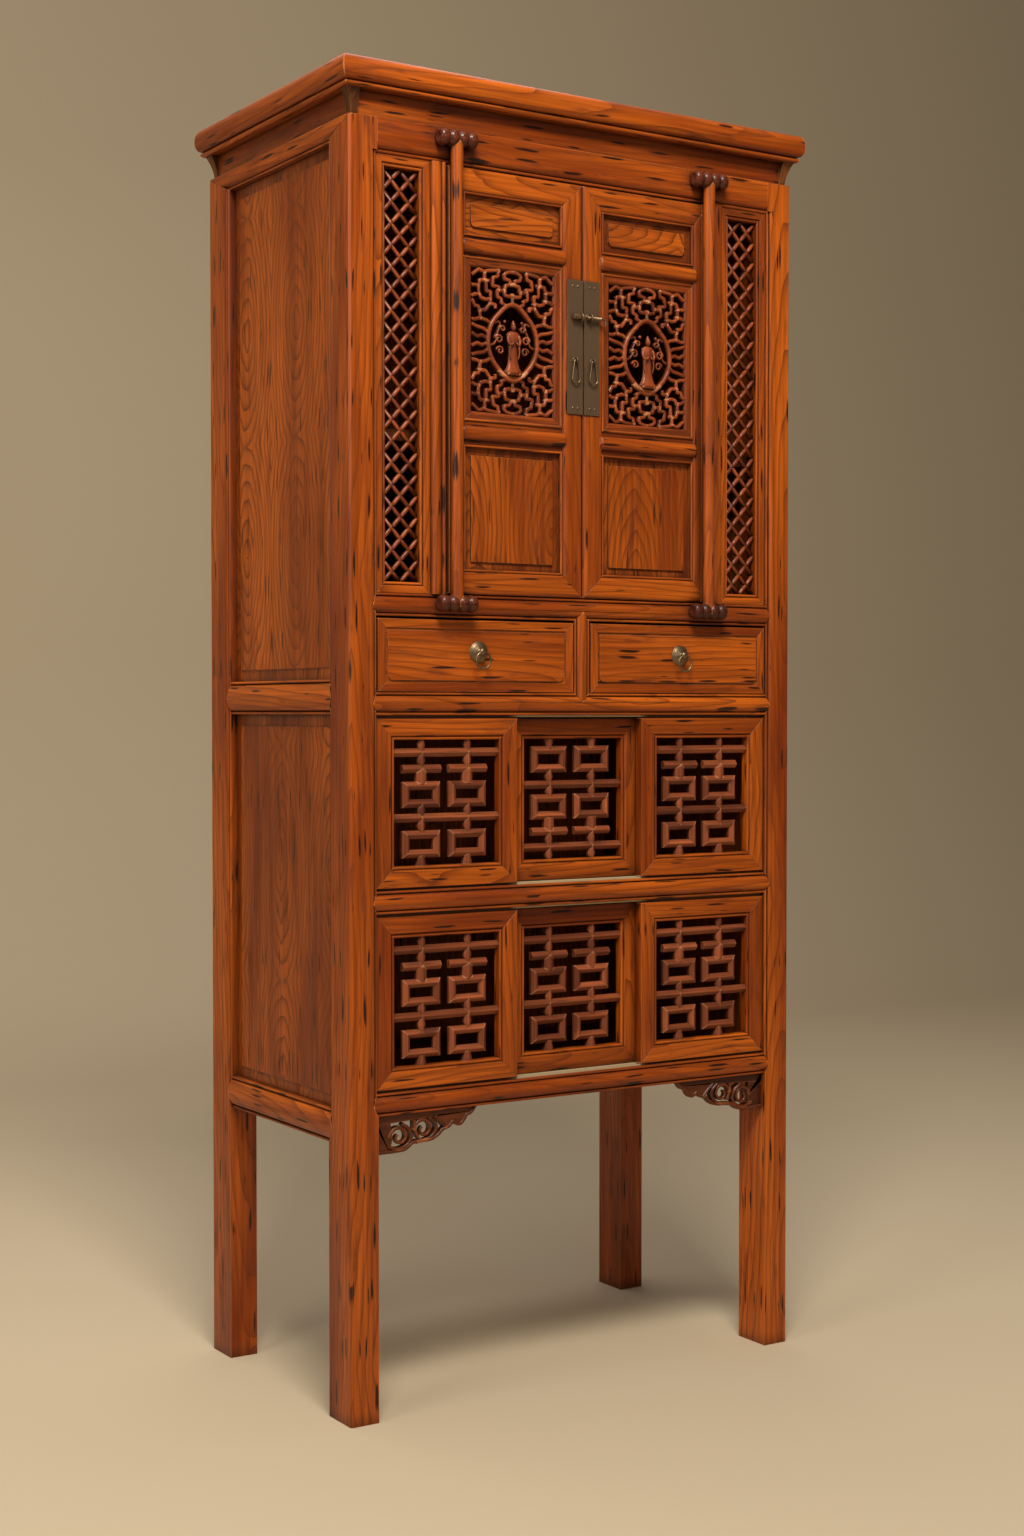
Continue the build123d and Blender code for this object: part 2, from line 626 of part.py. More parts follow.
def grille():
    """The right grille: a mitred frame with a stepped inner edge, round a diamond lattice."""
    height = DOOR_OPENING
    ring = front_slab(frame_of_boards(GRILLE_WIDTH, height, GRILLE_BORDER), GRILLE_SETBACK, GRILLE_THICKNESS)
    window_w = GRILLE_WIDTH - 2 * GRILLE_BORDER
    window_h = height - 2 * GRILLE_BORDER
    step = frame_of_boards(window_w + 2 * GRILLE_EDGE, window_h + 2 * GRILLE_EDGE, GRILLE_EDGE)
    corner = GRILLE_BORDER - GRILLE_EDGE
    ring -= Pos(corner, 0, corner) * front_slab(step, GRILLE_SETBACK, GRILLE_EDGE)
    mesh = front_slab(lattice_strips(window_w, window_h), GRILLE_SETBACK + LATTICE_SETBACK, LATTICE_THICKNESS)
    whole = ring + Pos(GRILLE_BORDER, 0, GRILLE_BORDER) * mesh
    return Pos(DOOR_POST_X + DOOR_POST_WIDTH, 0, DOOR_Z) * whole


def door_post():
    """The right door post, with flutes down its face."""
    post = block(DOOR_POST_X, DOOR_POST_X + DOOR_POST_WIDTH, 0, DOOR_POST_DEPTH, DOOR_Z, TOP_RAIL_Z)
    half = DOOR_POST_FLUTE / 2
    for index in range(1, DOOR_POST_FLUTES + 1):
        x = DOOR_POST_X + DOOR_POST_WIDTH * index / (DOOR_POST_FLUTES + 1)
        post -= block(x - half, x + half, 0, DOOR_POST_FLUTE, DOOR_Z, TOP_RAIL_Z)
    return post


# ---------------------------------------------------------------- door leaves: the right one
def pivot_stile():
    """The stile that turns: a round rod joined to a flat stile by a neck, with a pin at each end."""
    top = LEAF_Z + LEAF_HEIGHT
    rod_foot, rod_head = LOWER_SOCKET_Z + SOCKET_RADIUS, UPPER_SOCKET_Z - SOCKET_RADIUS
    rod = rod_z(PIVOT_X, PIVOT_Y, rod_foot, rod_head, PIVOT_ROD_RADIUS)
    neck = block(
        PIVOT_X - PIVOT_ROD_RADIUS / 2, PIVOT_X + PIVOT_ROD_RADIUS / 2, PIVOT_Y, LEAF_BACK, LEAF_Z, top)
    flat = block(PIVOT_STILE_X, LEAF_OUTER_X, LEAF_SETBACK, LEAF_BACK, LEAF_Z, top)
    foot = LOWER_SOCKET_Z - SOCKET_RADIUS - PIN_NUB
    pins = shaft_z(PIVOT_X, PIVOT_Y, foot, UPPER_SOCKET_Z + SOCKET_RADIUS / 2, PIN_RADIUS)
    return rod + neck + flat + pins


def meeting_stile():
    """The stile at the middle, its edge bevelled so that it clears the other leaf as it opens."""
    outline = make_face(Polyline(
        (LEAF_MEETING_X, LEAF_SETBACK), (MEETING_STILE_X, LEAF_SETBACK), (MEETING_STILE_X, LEAF_BACK),
        (LEAF_MEETING_X + MEETING_BEVEL, LEAF_BACK), close=True,
    ))
    return Pos(0, 0, LEAF_Z) * extrude(outline, LEAF_HEIGHT)


def leaf_levels():
    """Foot and head of each rail of a leaf, from the top down."""
    top = LEAF_Z + LEAF_HEIGHT
    mid_head = top - LEAF_TOP_RAIL - LEAF_TOP_PANEL
    lower_head = mid_head - LEAF_MID_RAIL - LEAF_FRET_PANEL
    return {
        "top": (top - LEAF_TOP_RAIL, top),
        "mid": (mid_head - LEAF_MID_RAIL, mid_head),
        "lower": (lower_head - LEAF_LOWER_MID_RAIL, lower_head),
        "bottom": (LEAF_Z, LEAF_Z + LEAF_BOTTOM_RAIL),
    }


def pill(z_mid):
    """The half-round that stands proud of a middle rail and laps both stiles with blunt ends."""
    def section(x, size):
        turns = [math.pi * step / (SMALL_SIDES // 2) for step in range(SMALL_SIDES // 2 + 1)]
        points = [(-PILL_PROUD * math.sin(t) * size, PILL_HEIGHT / 2 * math.cos(t) * size) for t in turns]
        return Plane.YZ.offset(x) * Pos(LEAF_SETBACK, z_mid) * make_face(Polyline(*points, close=True))

    x0, x1 = MEETING_STILE_X - PILL_LAP, PIVOT_STILE_X + PILL_LAP
    stations = ((x0, PILL_END_SIZE), (x0 + PILL_END, 1), (x1 - PILL_END, 1), (x1, PILL_END_SIZE))
    return loft([section(x, size) for x, size in stations], ruled=True)


def leaf_rails():
    """The four rails between the stiles."""
    rails = []
    for name, (foot, head) in leaf_levels().items():
        solid = block(MEETING_STILE_X, PIVOT_STILE_X, LEAF_SETBACK, LEAF_BACK, foot, head)
        if name in ("mid", "lower"):
            bead_back = LEAF_SETBACK + LEAF_RAIL_BEAD_DEPTH
            for edge in (foot, head - BEAD_HEIGHT):
                solid -= block(
                    MEETING_STILE_X, PIVOT_STILE_X, LEAF_SETBACK, bead_back, edge, edge + BEAD_HEIGHT)
            solid += pill((foot + head) / 2)
        rails.append(solid)
    return rails


def raised_panel(foot, head):
    """A leaf panel with a bevelled field that stands proud of its margin."""
    x0, x1 = MEETING_STILE_X, PIVOT_STILE_X
    back = LEAF_PANEL_SETBACK + LEAF_PANEL_THICKNESS
    panel = block(x0, x1, LEAF_PANEL_SETBACK, back, foot, head)
    margin = LEAF_FIELD_MARGIN
    field = block(
        x0 + margin, x1 - margin, LEAF_PANEL_SETBACK - LEAF_FIELD_PROUD, LEAF_PANEL_SETBACK,
        foot + margin, head - margin,
    )
    return panel + chamfer(front_edges(field), LEAF_FIELD_BEVEL)


def leaf_panels():
    levels = leaf_levels()
    return [
        raised_panel(levels["mid"][1], levels["top"][0]),
        raised_panel(levels["bottom"][1], levels["lower"][0]),
    ]


def stroke(points, cell_x, cell_z, width):
    """A bar of even width along straight runs between grid points."""
    bar = Sketch()
    corners = [(x * cell_x, z * cell_z) for x, z in points]
    for (x0, z0), (x1, z1) in zip(corners, corners[1:]):
        length = math.hypot(x1 - x0, z1 - z0) + width
        angle = math.degrees(math.atan2(z1 - z0, x1 - x0))
        bar += Pos((x0 + x1) / 2, (z0 + z1) / 2) * Rot(0, 0, angle) * Rectangle(length, width)
    return bar


def pointed_oval(inset):
    """The medallion's outline, drawn in all round by inset: an oval whose top runs up to a point."""
    width, height = MEDALLION_HALF_WIDTH - inset, MEDALLION_HALF_HEIGHT - inset
    turns = [math.tau * step / MEDALLION_SIDES for step in range(1, MEDALLION_SIDES)]
    sides = [(width * math.sin(turn), height * math.cos(turn)) for turn in turns]
    return make_face(Polyline((0, height + MEDALLION_TIP), *sides, close=True))


def figure():
    """A small figure in relief, standing on the foot of the ring: robe, wide sleeves, head and topknot."""
    foot = MEDALLION_RING - MEDALLION_HALF_HEIGHT
    back = FRET_SETBACK + FRET_THICKNESS

    def relief(outline, depth):
        return front_slab(Pos(0, foot) * outline, back - depth, depth)

    def both_ways(*right_side):
        left_side = [(-x, z) for x, z in reversed(right_side)]
        return make_face(Polyline(*right_side, *left_side, close=True))

    def disc(z, radius):
        return Pos(0, z) * RegularPolygon(radius, SMALL_SIDES)

    head_z = FIGURE_COLLAR[1] + FIGURE_HEAD - FIGURE_NECK_LAP
    seat = relief(both_ways((FIGURE_SEAT[0], -MEDALLION_RING / 2), FIGURE_SEAT), SLEEVE_DEPTH)
    robe = relief(both_ways((FIGURE_HEM, 0), FIGURE_WAIST, FIGURE_SHOULDER, FIGURE_COLLAR), FIGURE_DEPTH)
    sleeves = relief(both_ways(FIGURE_WAIST, (FIGURE_ELBOW, FIGURE_WAIST[1]), FIGURE_SHOULDER), SLEEVE_DEPTH)
    head = relief(disc(head_z, FIGURE_HEAD), FIGURE_DEPTH)
    knot = relief(disc(head_z + FIGURE_HEAD, FIGURE_KNOT), KNOT_DEPTH)
    rounded = chamfer(front_edges(robe), FIGURE_BEVEL) + chamfer(front_edges(head), FIGURE_BEVEL)
    return rounded + sleeves + knot + seat


def fret_quarter():
    """Grid runs of the stepped fret in the upper right quarter, from the centre of the window outwards."""
    return [
        [(0, 7), (0, 8.4), (1.6, 8.4), (1.6, 9.4), (3, 9.4), (3, 11.4), (1.2, 11.4), (1.2, 12.6), (0, 12.6),
         (0, 15)],
        [(3, 10.4), (4.6, 10.4), (4.6, 12.4), (3, 12.4), (3, 15)],
        [(4.6, 11.4), (6.2, 11.4), (6.2, 13.4), (5, 13.4), (5, 15)],
        [(6.2, 12.6), (8.2, 12.6), (8.2, 15)],
        [(8.2, 13.6), (10, 13.6)],
        [(3.4, 6.4), (3.4, 8.2), (5, 8.2), (5, 9.6), (7, 9.6), (7, 11.2), (10, 11.2)],
        [(5, 5), (6.4, 5), (6.4, 7), (7.8, 7), (7.8, 9.6), (10, 9.6)],
        [(7.8, 8), (10, 8)],
        [(6, 3.2), (7.6, 3.2), (7.6, 4.8), (8.8, 4.8), (8.8, 6.4), (10, 6.4)],
        [(7.6, 3.6), (10, 3.6)],
        [(6, 1), (8, 1), (8, 2), (10, 2)],
    ]


def fret_window(width, height):
    """Front-view sketch of the fret, mirrored from one quarter about a pointed oval ring."""
    cell_x = width / 2 / FRET_CELLS_HALF_WIDTH
    cell_z = height / 2 / FRET_CELLS_HALF_HEIGHT
    quarter = Sketch()
    for run in fret_quarter():
        quarter += stroke(run, cell_x, cell_z, FRET_BAR)
    half = quarter + mirror(quarter, Plane.XZ)
    fret = half + mirror(half, Plane.YZ)
    return (fret + pointed_oval(0) - pointed_oval(MEDALLION_RING)) & Rectangle(width, height)


def fret_panel():
    """A pierced panel between the middle rails, with a figure in its medallion."""
    levels = leaf_levels()
    foot, head = levels["lower"][1], levels["mid"][0]
    width, height = PIVOT_STILE_X - MEETING_STILE_X, head - foot
    sketch = fret_window(width - 2 * FRET_BORDER, height - 2 * FRET_BORDER)
    sketch += Pos(-width / 2, -height / 2) * frame_of_boards(width, height, FRET_BORDER)
    whole = front_slab(sketch, FRET_SETBACK, FRET_THICKNESS) + figure()
    return Pos((PIVOT_STILE_X + MEETING_STILE_X) / 2, 0, (foot + head) / 2) * whole


# ---------------------------------------------------------------- pivot sockets
def socket(z, bore_from, bore_to, rail_behind):
    """A lobed wooden block fitted to the face of a rail, and bored for the pin of the pivot rod."""
    length = SOCKET_LENGTH / SOCKET_LOBES
    start = PIVOT_X - SOCKET_LENGTH / 2
    lobe = rod_x(start, start + length, PIVOT_Y, z, SOCKET_RADIUS)
    for direction in (Axis.X, Axis((0, 0, 0), (-1, 0, 0))):
        lobe = bevelled_end(lobe, direction, SOCKET_RADIUS - SOCKET_WAIST, SOCKET_SHOULDER)
    lobes = [Pos(index * length, 0, 0) * lobe for index in range(SOCKET_LOBES)]
    bore = shaft_z(PIVOT_X, PIVOT_Y, bore_from, bore_to, PIN_RADIUS + PIN_CLEARANCE)
    return lobes[0].fuse(*lobes[1:]) - rail_behind - bore


def sockets(door_rail, rail_above):
    """The four sockets: the upper ones are blind, and the lower ones let the foot of the pin through."""
    upper_end = UPPER_SOCKET_Z + SOCKET_RADIUS / 2 + PIN_CLEARANCE
    lower_end = LOWER_SOCKET_Z + 2 * SOCKET_RADIUS
    upper = socket(UPPER_SOCKET_Z, UPPER_SOCKET_Z - 2 * SOCKET_RADIUS, upper_end, rail_above)
    lower = socket(LOWER_SOCKET_Z, LOWER_SOCKET_Z - 2 * SOCKET_RADIUS, lower_end, door_rail)
    return both_sides(upper) + both_sides(lower)


# ---------------------------------------------------------------- lock and pulls
def ring_in_yz(x, y, z, radius, wire):
    """A ring of square wire that stands across x."""
    outer = rod_x(x - wire, x + wire, y, z, radius + wire)
    return outer - rod_x(x - wire, x + wire, y, z, radius - wire)


def lock_plate(with_keeper):
    """The right plate: rivets, a staple for the bolt and an eye for the pull. The left has a keeper too."""
    plate = block(PLATE_X, PLATE_X + PLATE_WIDTH, PLATE_FRONT, LEAF_SETBACK, PLATE_Z, PLATE_Z + PLATE_HEIGHT)
    for z in (PLATE_Z + RIVET_FROM_END, PLATE_Z + PLATE_HEIGHT - RIVET_FROM_END):
        plate += button(
            PLATE_X + PLATE_WIDTH / 2, PLATE_FRONT, z,
            RIVET_HEIGHT, RIVET_RADIUS, RIVET_HEAD_RADIUS, RIVET_BEVEL)
    staple_x = PLATE_X + STAPLE_FROM_EDGE
    plate_top = PLATE_Z + PLATE_HEIGHT
    keep_front = block(PLATE_X, PLATE_X + PLATE_WIDTH, BOLT_Y - PLATE_WIDTH, PLATE_FRONT, PLATE_Z, plate_top)
    for ring in (
        ring_in_yz(staple_x, BOLT_Y, BOLT_Z, STAPLE_RING, STAPLE_WIRE),
        ring_in_yz(EYE_X, EYE_Y, EYE_Z, EYE_RING, EYE_WIRE),
    ):
        plate += ring & keep_front
    if with_keeper:
        bore = BOLT_RADIUS + KEEPER_CLEARANCE
        keeper_x = PLATE_X + BOLT_TIP_GAP
        barrel = rod_x(keeper_x, keeper_x + KEEPER_LENGTH, BOLT_Y, BOLT_Z, KEEPER_RADIUS)
        bridge = block(
            keeper_x, keeper_x + KEEPER_LENGTH,
            BOLT_Y, PLATE_FRONT, BOLT_Z - STAPLE_WIRE, BOLT_Z + STAPLE_WIRE)
        plate += barrel + bridge
        plate -= rod_x(keeper_x, keeper_x + KEEPER_LENGTH, BOLT_Y, BOLT_Z, bore)
    return plate


def bolt():
    """The bolt in the right staple, with a bent handle at its outer end."""
    end = BOLT_TIP_X + BOLT_LENGTH
    handle_end = end + BOLT_HANDLE_LENGTH
    shank = rod_x(BOLT_TIP_X, end, BOLT_Y, BOLT_Z, BOLT_RADIUS)
    arm = rod_x(end, handle_end, BOLT_Y, BOLT_Z, BOLT_HANDLE_RADIUS)
    hook_foot = BOLT_Z - BOLT_HANDLE_DROP
    hook = rod_z(handle_end - BOLT_HANDLE_RADIUS, BOLT_Y, hook_foot, BOLT_Z, BOLT_HANDLE_RADIUS)
    return shank + arm + hook


def teardrop(grow):
    """A drop outline: a small arc above a large one, joined by their tangents, grown evenly all round."""
    top, foot = PULL_TOP_RADIUS + grow, PULL_FOOT_RADIUS + grow
    lean = math.asin((foot - top) / (PULL_LENGTH - PULL_TOP_RADIUS))

    def arc(radius, z, start, sweep):
        turns = [start + sweep * step / (SMALL_SIDES // 2) for step in range(SMALL_SIDES // 2 + 1)]
        return [(radius * math.cos(turn), z + radius * math.sin(turn)) for turn in turns]

    over = arc(top, -PULL_TOP_RADIUS, lean, math.pi - 2 * lean)
    under = arc(foot, -PULL_LENGTH, math.pi - lean, math.pi + 2 * lean)
    return make_face(Polyline(*over, *under, close=True))


def teardrop_pull():
    """The drop-shaped ring that hangs in the eye of the right plate."""
    ring = Pos(EYE_X, EYE_Z) * (teardrop(PULL_WIRE) - teardrop(-PULL_WIRE))
    return front_slab(ring, EYE_Y - PULL_WIRE, 2 * PULL_WIRE)


# ---------------------------------------------------------------- drawers: the right one
def drawer_front():
    """A front with a shallow groove round its field, rounder at the lower corners."""
    x0, x1 = DRAWER_INNER_X, DRAWER_OUTER_X
    z0, z1 = DRAWER_FRONT_Z, DRAWER_FRONT_Z + DRAWER_FRONT_HEIGHT
    front = block(x0, x1, DRAWER_FRONT_SETBACK, DRAWER_BACK_OF_FRONT, z0, z1)

    def field(inset, corner):
        width = DRAWER_FRONT_WIDTH - 2 * inset
        height = DRAWER_FRONT_HEIGHT - 2 * inset
        sketch = Rectangle(width, height)
        sketch = fillet(sketch.vertices().group_by(Axis.Y)[0], corner)
        return Pos(DRAWER_MID_X, (z0 + z1) / 2) * sketch

    outer = field(DRAWER_FIELD_MARGIN - DRAWER_FIELD_GROOVE, DRAWER_FIELD_ROUND + DRAWER_FIELD_GROOVE)
    ring = outer - field(DRAWER_FIELD_MARGIN, DRAWER_FIELD_ROUND)
    return front - front_slab(ring, DRAWER_FRONT_SETBACK, DRAWER_GROOVE_DEPTH)


def drawer_box():
    """Two sides, a back and a bottom behind the front."""
    x0 = DRAWER_INNER_X + GUIDE_CLEARANCE
    x1 = DRAWER_OUTER_X - GUIDE_CLEARANCE
    y0, y1 = DRAWER_BACK_OF_FRONT, DRAWER_FRONT_SETBACK + DRAWER_LENGTH
    z0, z1 = DRAWER_FRONT_Z, DRAWER_FRONT_Z + DRAWER_BOX_HEIGHT
    wall = DRAWER_SIDE_THICKNESS
    floor = z0 + DRAWER_BOTTOM_RAISE
    left = block(x0, x0 + wall, y0, y1, z0, z1)
    right = block(x1 - wall, x1, y0, y1, z0, z1)
    back = block(x0 + wall, x1 - wall, y1 - wall, y1, floor, z1)
    bottom = block(x0 + wall, x1 - wall, y0, y1 - wall, floor, floor + DRAWER_BOTTOM_THICKNESS)
    return [left, right, back, bottom]


def drawer_rosette():
    """A domed rosette with a post, and the eye that the ring hangs in."""
    rosette = Part()
    post_end = ROSETTE_HEIGHT + KNOB_POST_LENGTH - RING_EYE_WIRE
    for height, radius, head_radius, shoulder in (
        (ROSETTE_DOME_LEVEL, ROSETTE_RADIUS, ROSETTE_DOME_RADIUS, ROSETTE_DOME_LEVEL - ROSETTE_RIM),
        (ROSETTE_HEIGHT, ROSETTE_DOME_RADIUS, KNOB_COLLAR_RADIUS, ROSETTE_HEIGHT - ROSETTE_DOME_LEVEL),
        (post_end, KNOB_COLLAR_RADIUS, KNOB_POST_RADIUS, KNOB_POST_LENGTH / 2),
    ):
        rosette += button(DRAWER_MID_X, DRAWER_FRONT_SETBACK, KNOB_Z, height, radius, head_radius, shoulder)
    eye = ring_in_yz(DRAWER_MID_X, RING_Y, KNOB_Z, RING_WIRE + 2 * RING_EYE_WIRE, RING_EYE_WIRE)
    return rosette + eye - rod_x(
        DRAWER_MID_X - KNOB_COLLAR_RADIUS, DRAWER_MID_X + KNOB_COLLAR_RADIUS,
        RING_Y, KNOB_Z, RING_WIRE + RING_EYE_WIRE)


def drawer_ring():
    """The ring pull, hung by its top in the eye of the rosette."""
    outer, inner = (RegularPolygon(RING_RADIUS + grow, RING_SIDES) for grow in (RING_WIRE, -RING_WIRE))
    hung = Pos(DRAWER_MID_X, KNOB_Z - RING_RADIUS) * (outer - inner)
    return front_slab(hung, RING_Y - RING_WIRE, 2 * RING_WIRE)


# ---------------------------------------------------------------- sliding panels
def level_bar(x0, x1, z):
    """A level bar with square ends, its long front edges bevelled."""
    bar = block(x0, x1, 0, FRETWORK_DEPTH, z - FRETWORK_BAR / 2, z + FRETWORK_BAR / 2)
    return chamfer(front_edges(bar).filter_by(Axis.X), FRETWORK_BEVEL)


def upright_bar(x, z0, z1):
    """An upright bar bevelled on all four front edges, so that its ends lap what they meet in a mitre."""
    bar = block(x - FRETWORK_BAR / 2, x + FRETWORK_BAR / 2, 0, FRETWORK_DEPTH, z0, z1)
    return chamfer(front_edges(bar), FRETWORK_BEVEL)


def bevelled_loop(x0, x1, z0, z1):
    """A rectangular loop of mitred bars with bevelled edges."""
    width, height = x1 - x0, z1 - z0
    ring = Rectangle(width, height) - Rectangle(width - 2 * FRETWORK_BAR, height - 2 * FRETWORK_BAR)
    ring = Pos((x0 + x1) / 2, (z0 + z1) / 2) * ring
    return chamfer(front_edges(front_slab(ring, 0, FRETWORK_DEPTH)), FRETWORK_BEVEL)


def fretwork(width, height):
    """Bars, short bars and loops on two uprights, from the lower left corner of the window."""
    half = FRETWORK_BAR / 2
    columns = ((0.09, 0.27, 0.45), (0.53, 0.71, 0.89))
    long_bars = (0.90, 0.38)
    short_bar = 0.77
    loops = ((0.46, 0.67), (0.06, 0.28))
    work = level_bar(0, width, height * long_bars[0]) + level_bar(0, width, height * long_bars[1])
    for left, middle, right in columns:
        x = width * middle
        work += upright_bar(x, height * loops[0][1] - half, height)
        work += upright_bar(x, height * loops[1][1] - half, height * loops[0][0] + half)
        work += upright_bar(x, 0, height * loops[1][0] + half)
        work += level_bar(width * left, width * right, height * short_bar)
        for foot, head in loops:
            work += bevelled_loop(width * left, width * right, height * foot, height * head)
    return work


def slider_frame(height):
    """A mitred frame with a stepped inner edge, and a tongue along its foot and head for the tracks."""
    ring = front_slab(frame_of_boards(SLIDER_WIDTH, height, SLIDER_BORDER), 0, SLIDER_THICKNESS)
    corner = SLIDER_BORDER - SLIDER_EDGE
    step = frame_of_boards(SLIDER_WIDTH - 2 * corner, height - 2 * corner, SLIDER_EDGE)
    ring -= Pos(corner, 0, corner) * front_slab(step, 0, SLIDER_EDGE)
    y0 = (SLIDER_THICKNESS - TONGUE_THICKNESS) / 2
    ring += block(0, SLIDER_WIDTH, y0, y0 + TONGUE_THICKNESS, -FOOT_TONGUE, 0)
    return ring + block(0, SLIDER_WIDTH, y0, y0 + TONGUE_THICKNESS, height, height + HEAD_TONGUE)


def slider_row(z, opening, flipped):
    """The three panels of a row, by place: each a frame and the fretwork in its window."""
    height = opening - SLIDER_FOOT_GAP - SLIDER_TOP_GAP
    foot = z + SLIDER_FOOT_GAP
    window_h = height - 2 * SLIDER_BORDER
    frame = slider_frame(height)
    work = fretwork(SLIDER_WIDTH - 2 * SLIDER_BORDER, window_h)
    row = {}
    for place, (x, y) in slider_places().items():
        turned = Pos(0, 0, window_h) * mirror(work, Plane.XY) if place in flipped else work
        row[place] = (
            Pos(x, y, foot) * frame,
            Pos(x + SLIDER_BORDER, y + FRETWORK_SETBACK, foot + SLIDER_BORDER) * turned,
        )
    return row


def slider_places():
    """Left edge and depth of the three panels of a row: the middle one runs in the back track."""
    left = -INNER_HALF + SLIDER_SIDE_GAP
    step = SLIDER_WIDTH - SLIDER_OVERLAP
    return {
        "left": (left, SLIDER_SETBACK),
        "middle": (left + step, BACK_TRACK_SETBACK),
        "right": (left + 2 * step, SLIDER_SETBACK),
    }


def track_grooves(z0, z1):
    """The two grooves that the tongues run in."""
    y0 = (SLIDER_THICKNESS - TONGUE_THICKNESS) / 2 - GROOVE_CLEARANCE
    width = TONGUE_THICKNESS + 2 * GROOVE_CLEARANCE
    return [
        block(-INNER_HALF, INNER_HALF, setback + y0, setback + y0 + width, z0, z1)
        for setback in (SLIDER_SETBACK, BACK_TRACK_SETBACK)
    ]


def track_stock(z0, z1):
    back = BACK_TRACK_SETBACK + SLIDER_THICKNESS
    return block(-INNER_HALF, INNER_HALF, SLIDER_SETBACK + TRACK_WALL, back - TRACK_WALL, z0, z1)


def track_blanks():
    """The four strips before grooving: one under and one over each row."""
    foot_rows = (LOWER_SLIDER_Z, UPPER_SLIDER_Z)
    head_rows = (MID_RAIL_Z, DRAWER_RAIL_Z)
    feet = [track_stock(z + TRACK_PROUD - TRACK_THICKNESS, z + TRACK_PROUD) for z in foot_rows]
    heads = [track_stock(z - TRACK_PROUD, z - TRACK_PROUD + TRACK_THICKNESS) for z in head_rows]
    return feet, heads


def slider_tracks():
    feet, heads = track_blanks()
    foot_deep = FOOT_TONGUE + GROOVE_CLEARANCE
    head_deep = HEAD_TONGUE + GROOVE_CLEARANCE - SLIDER_TOP_GAP + TRACK_PROUD
    grooved = []
    for blank, z in zip(feet, (LOWER_SLIDER_Z, UPPER_SLIDER_Z)):
        grooved.append(cut_by(blank, track_grooves(z + SLIDER_FOOT_GAP - foot_deep, z + TRACK_PROUD)))
    for blank, z in zip(heads, (MID_RAIL_Z, DRAWER_RAIL_Z)):
        grooved.append(cut_by(blank, track_grooves(z - TRACK_PROUD, z - TRACK_PROUD + head_deep)))
    return grooved


# ---------------------------------------------------------------- spandrels
def curved_slot(x, z, radius, start, sweep):
    """A slot of even width bent round a centre, cut with straight chisel strokes."""
    turns = [math.radians(start + sweep * step / 4) for step in range(5)]
    outer, inner = radius + SPANDREL_SLOT / 2, radius - SPANDREL_SLOT / 2
    points = [(x + outer * math.cos(turn), z + outer * math.sin(turn)) for turn in turns]
    points += [(x + inner * math.cos(turn), z + inner * math.sin(turn)) for turn in reversed(turns)]
    return make_face(Polyline(*points, close=True))


def spandrel():
    """The left bracket: a stepped outline under the rail, pierced between its scrolls."""
    reach, drop = SPANDREL_LENGTH, SPANDREL_DROP
    steps = (
        (0, 0), (0, 1), (0.27, 1), (0.32, 0.95), (0.37, 0.79), (0.53, 0.81), (0.62, 0.70), (0.67, 0.55),
        (0.74, 0.5), (0.77, 0.36), (0.8, 0.48), (0.85, 0.48), (0.9, 0.25), (0.96, 0.24), (1, 0),
    )
    first, second = (reach * 0.25, -drop * 0.62), (reach * 0.50, -drop * 0.50)

    def stepped(*shares):
        return make_face(Polyline(*[(reach * across, -drop * down) for across, down in shares], close=True))

    slots = [
        curved_slot(*first, radius=9, start=150, sweep=200),
        curved_slot(*first, radius=22, start=25, sweep=80),
        curved_slot(*second, radius=8, start=-60, sweep=190),
        curved_slot(*second, radius=19, start=60, sweep=70),
        stepped((0.63, 0.2), (0.68, 0.4), (0.76, 0.15)),
        stepped((0.81, 0.2), (0.83, 0.35), (0.89, 0.2)),
    ]
    solid = front_slab(cut_by(stepped(*steps), slots), SPANDREL_SETBACK, SPANDREL_THICKNESS)
    return Pos(-INNER_HALF, 0, BOTTOM_RAIL_Z) * solid


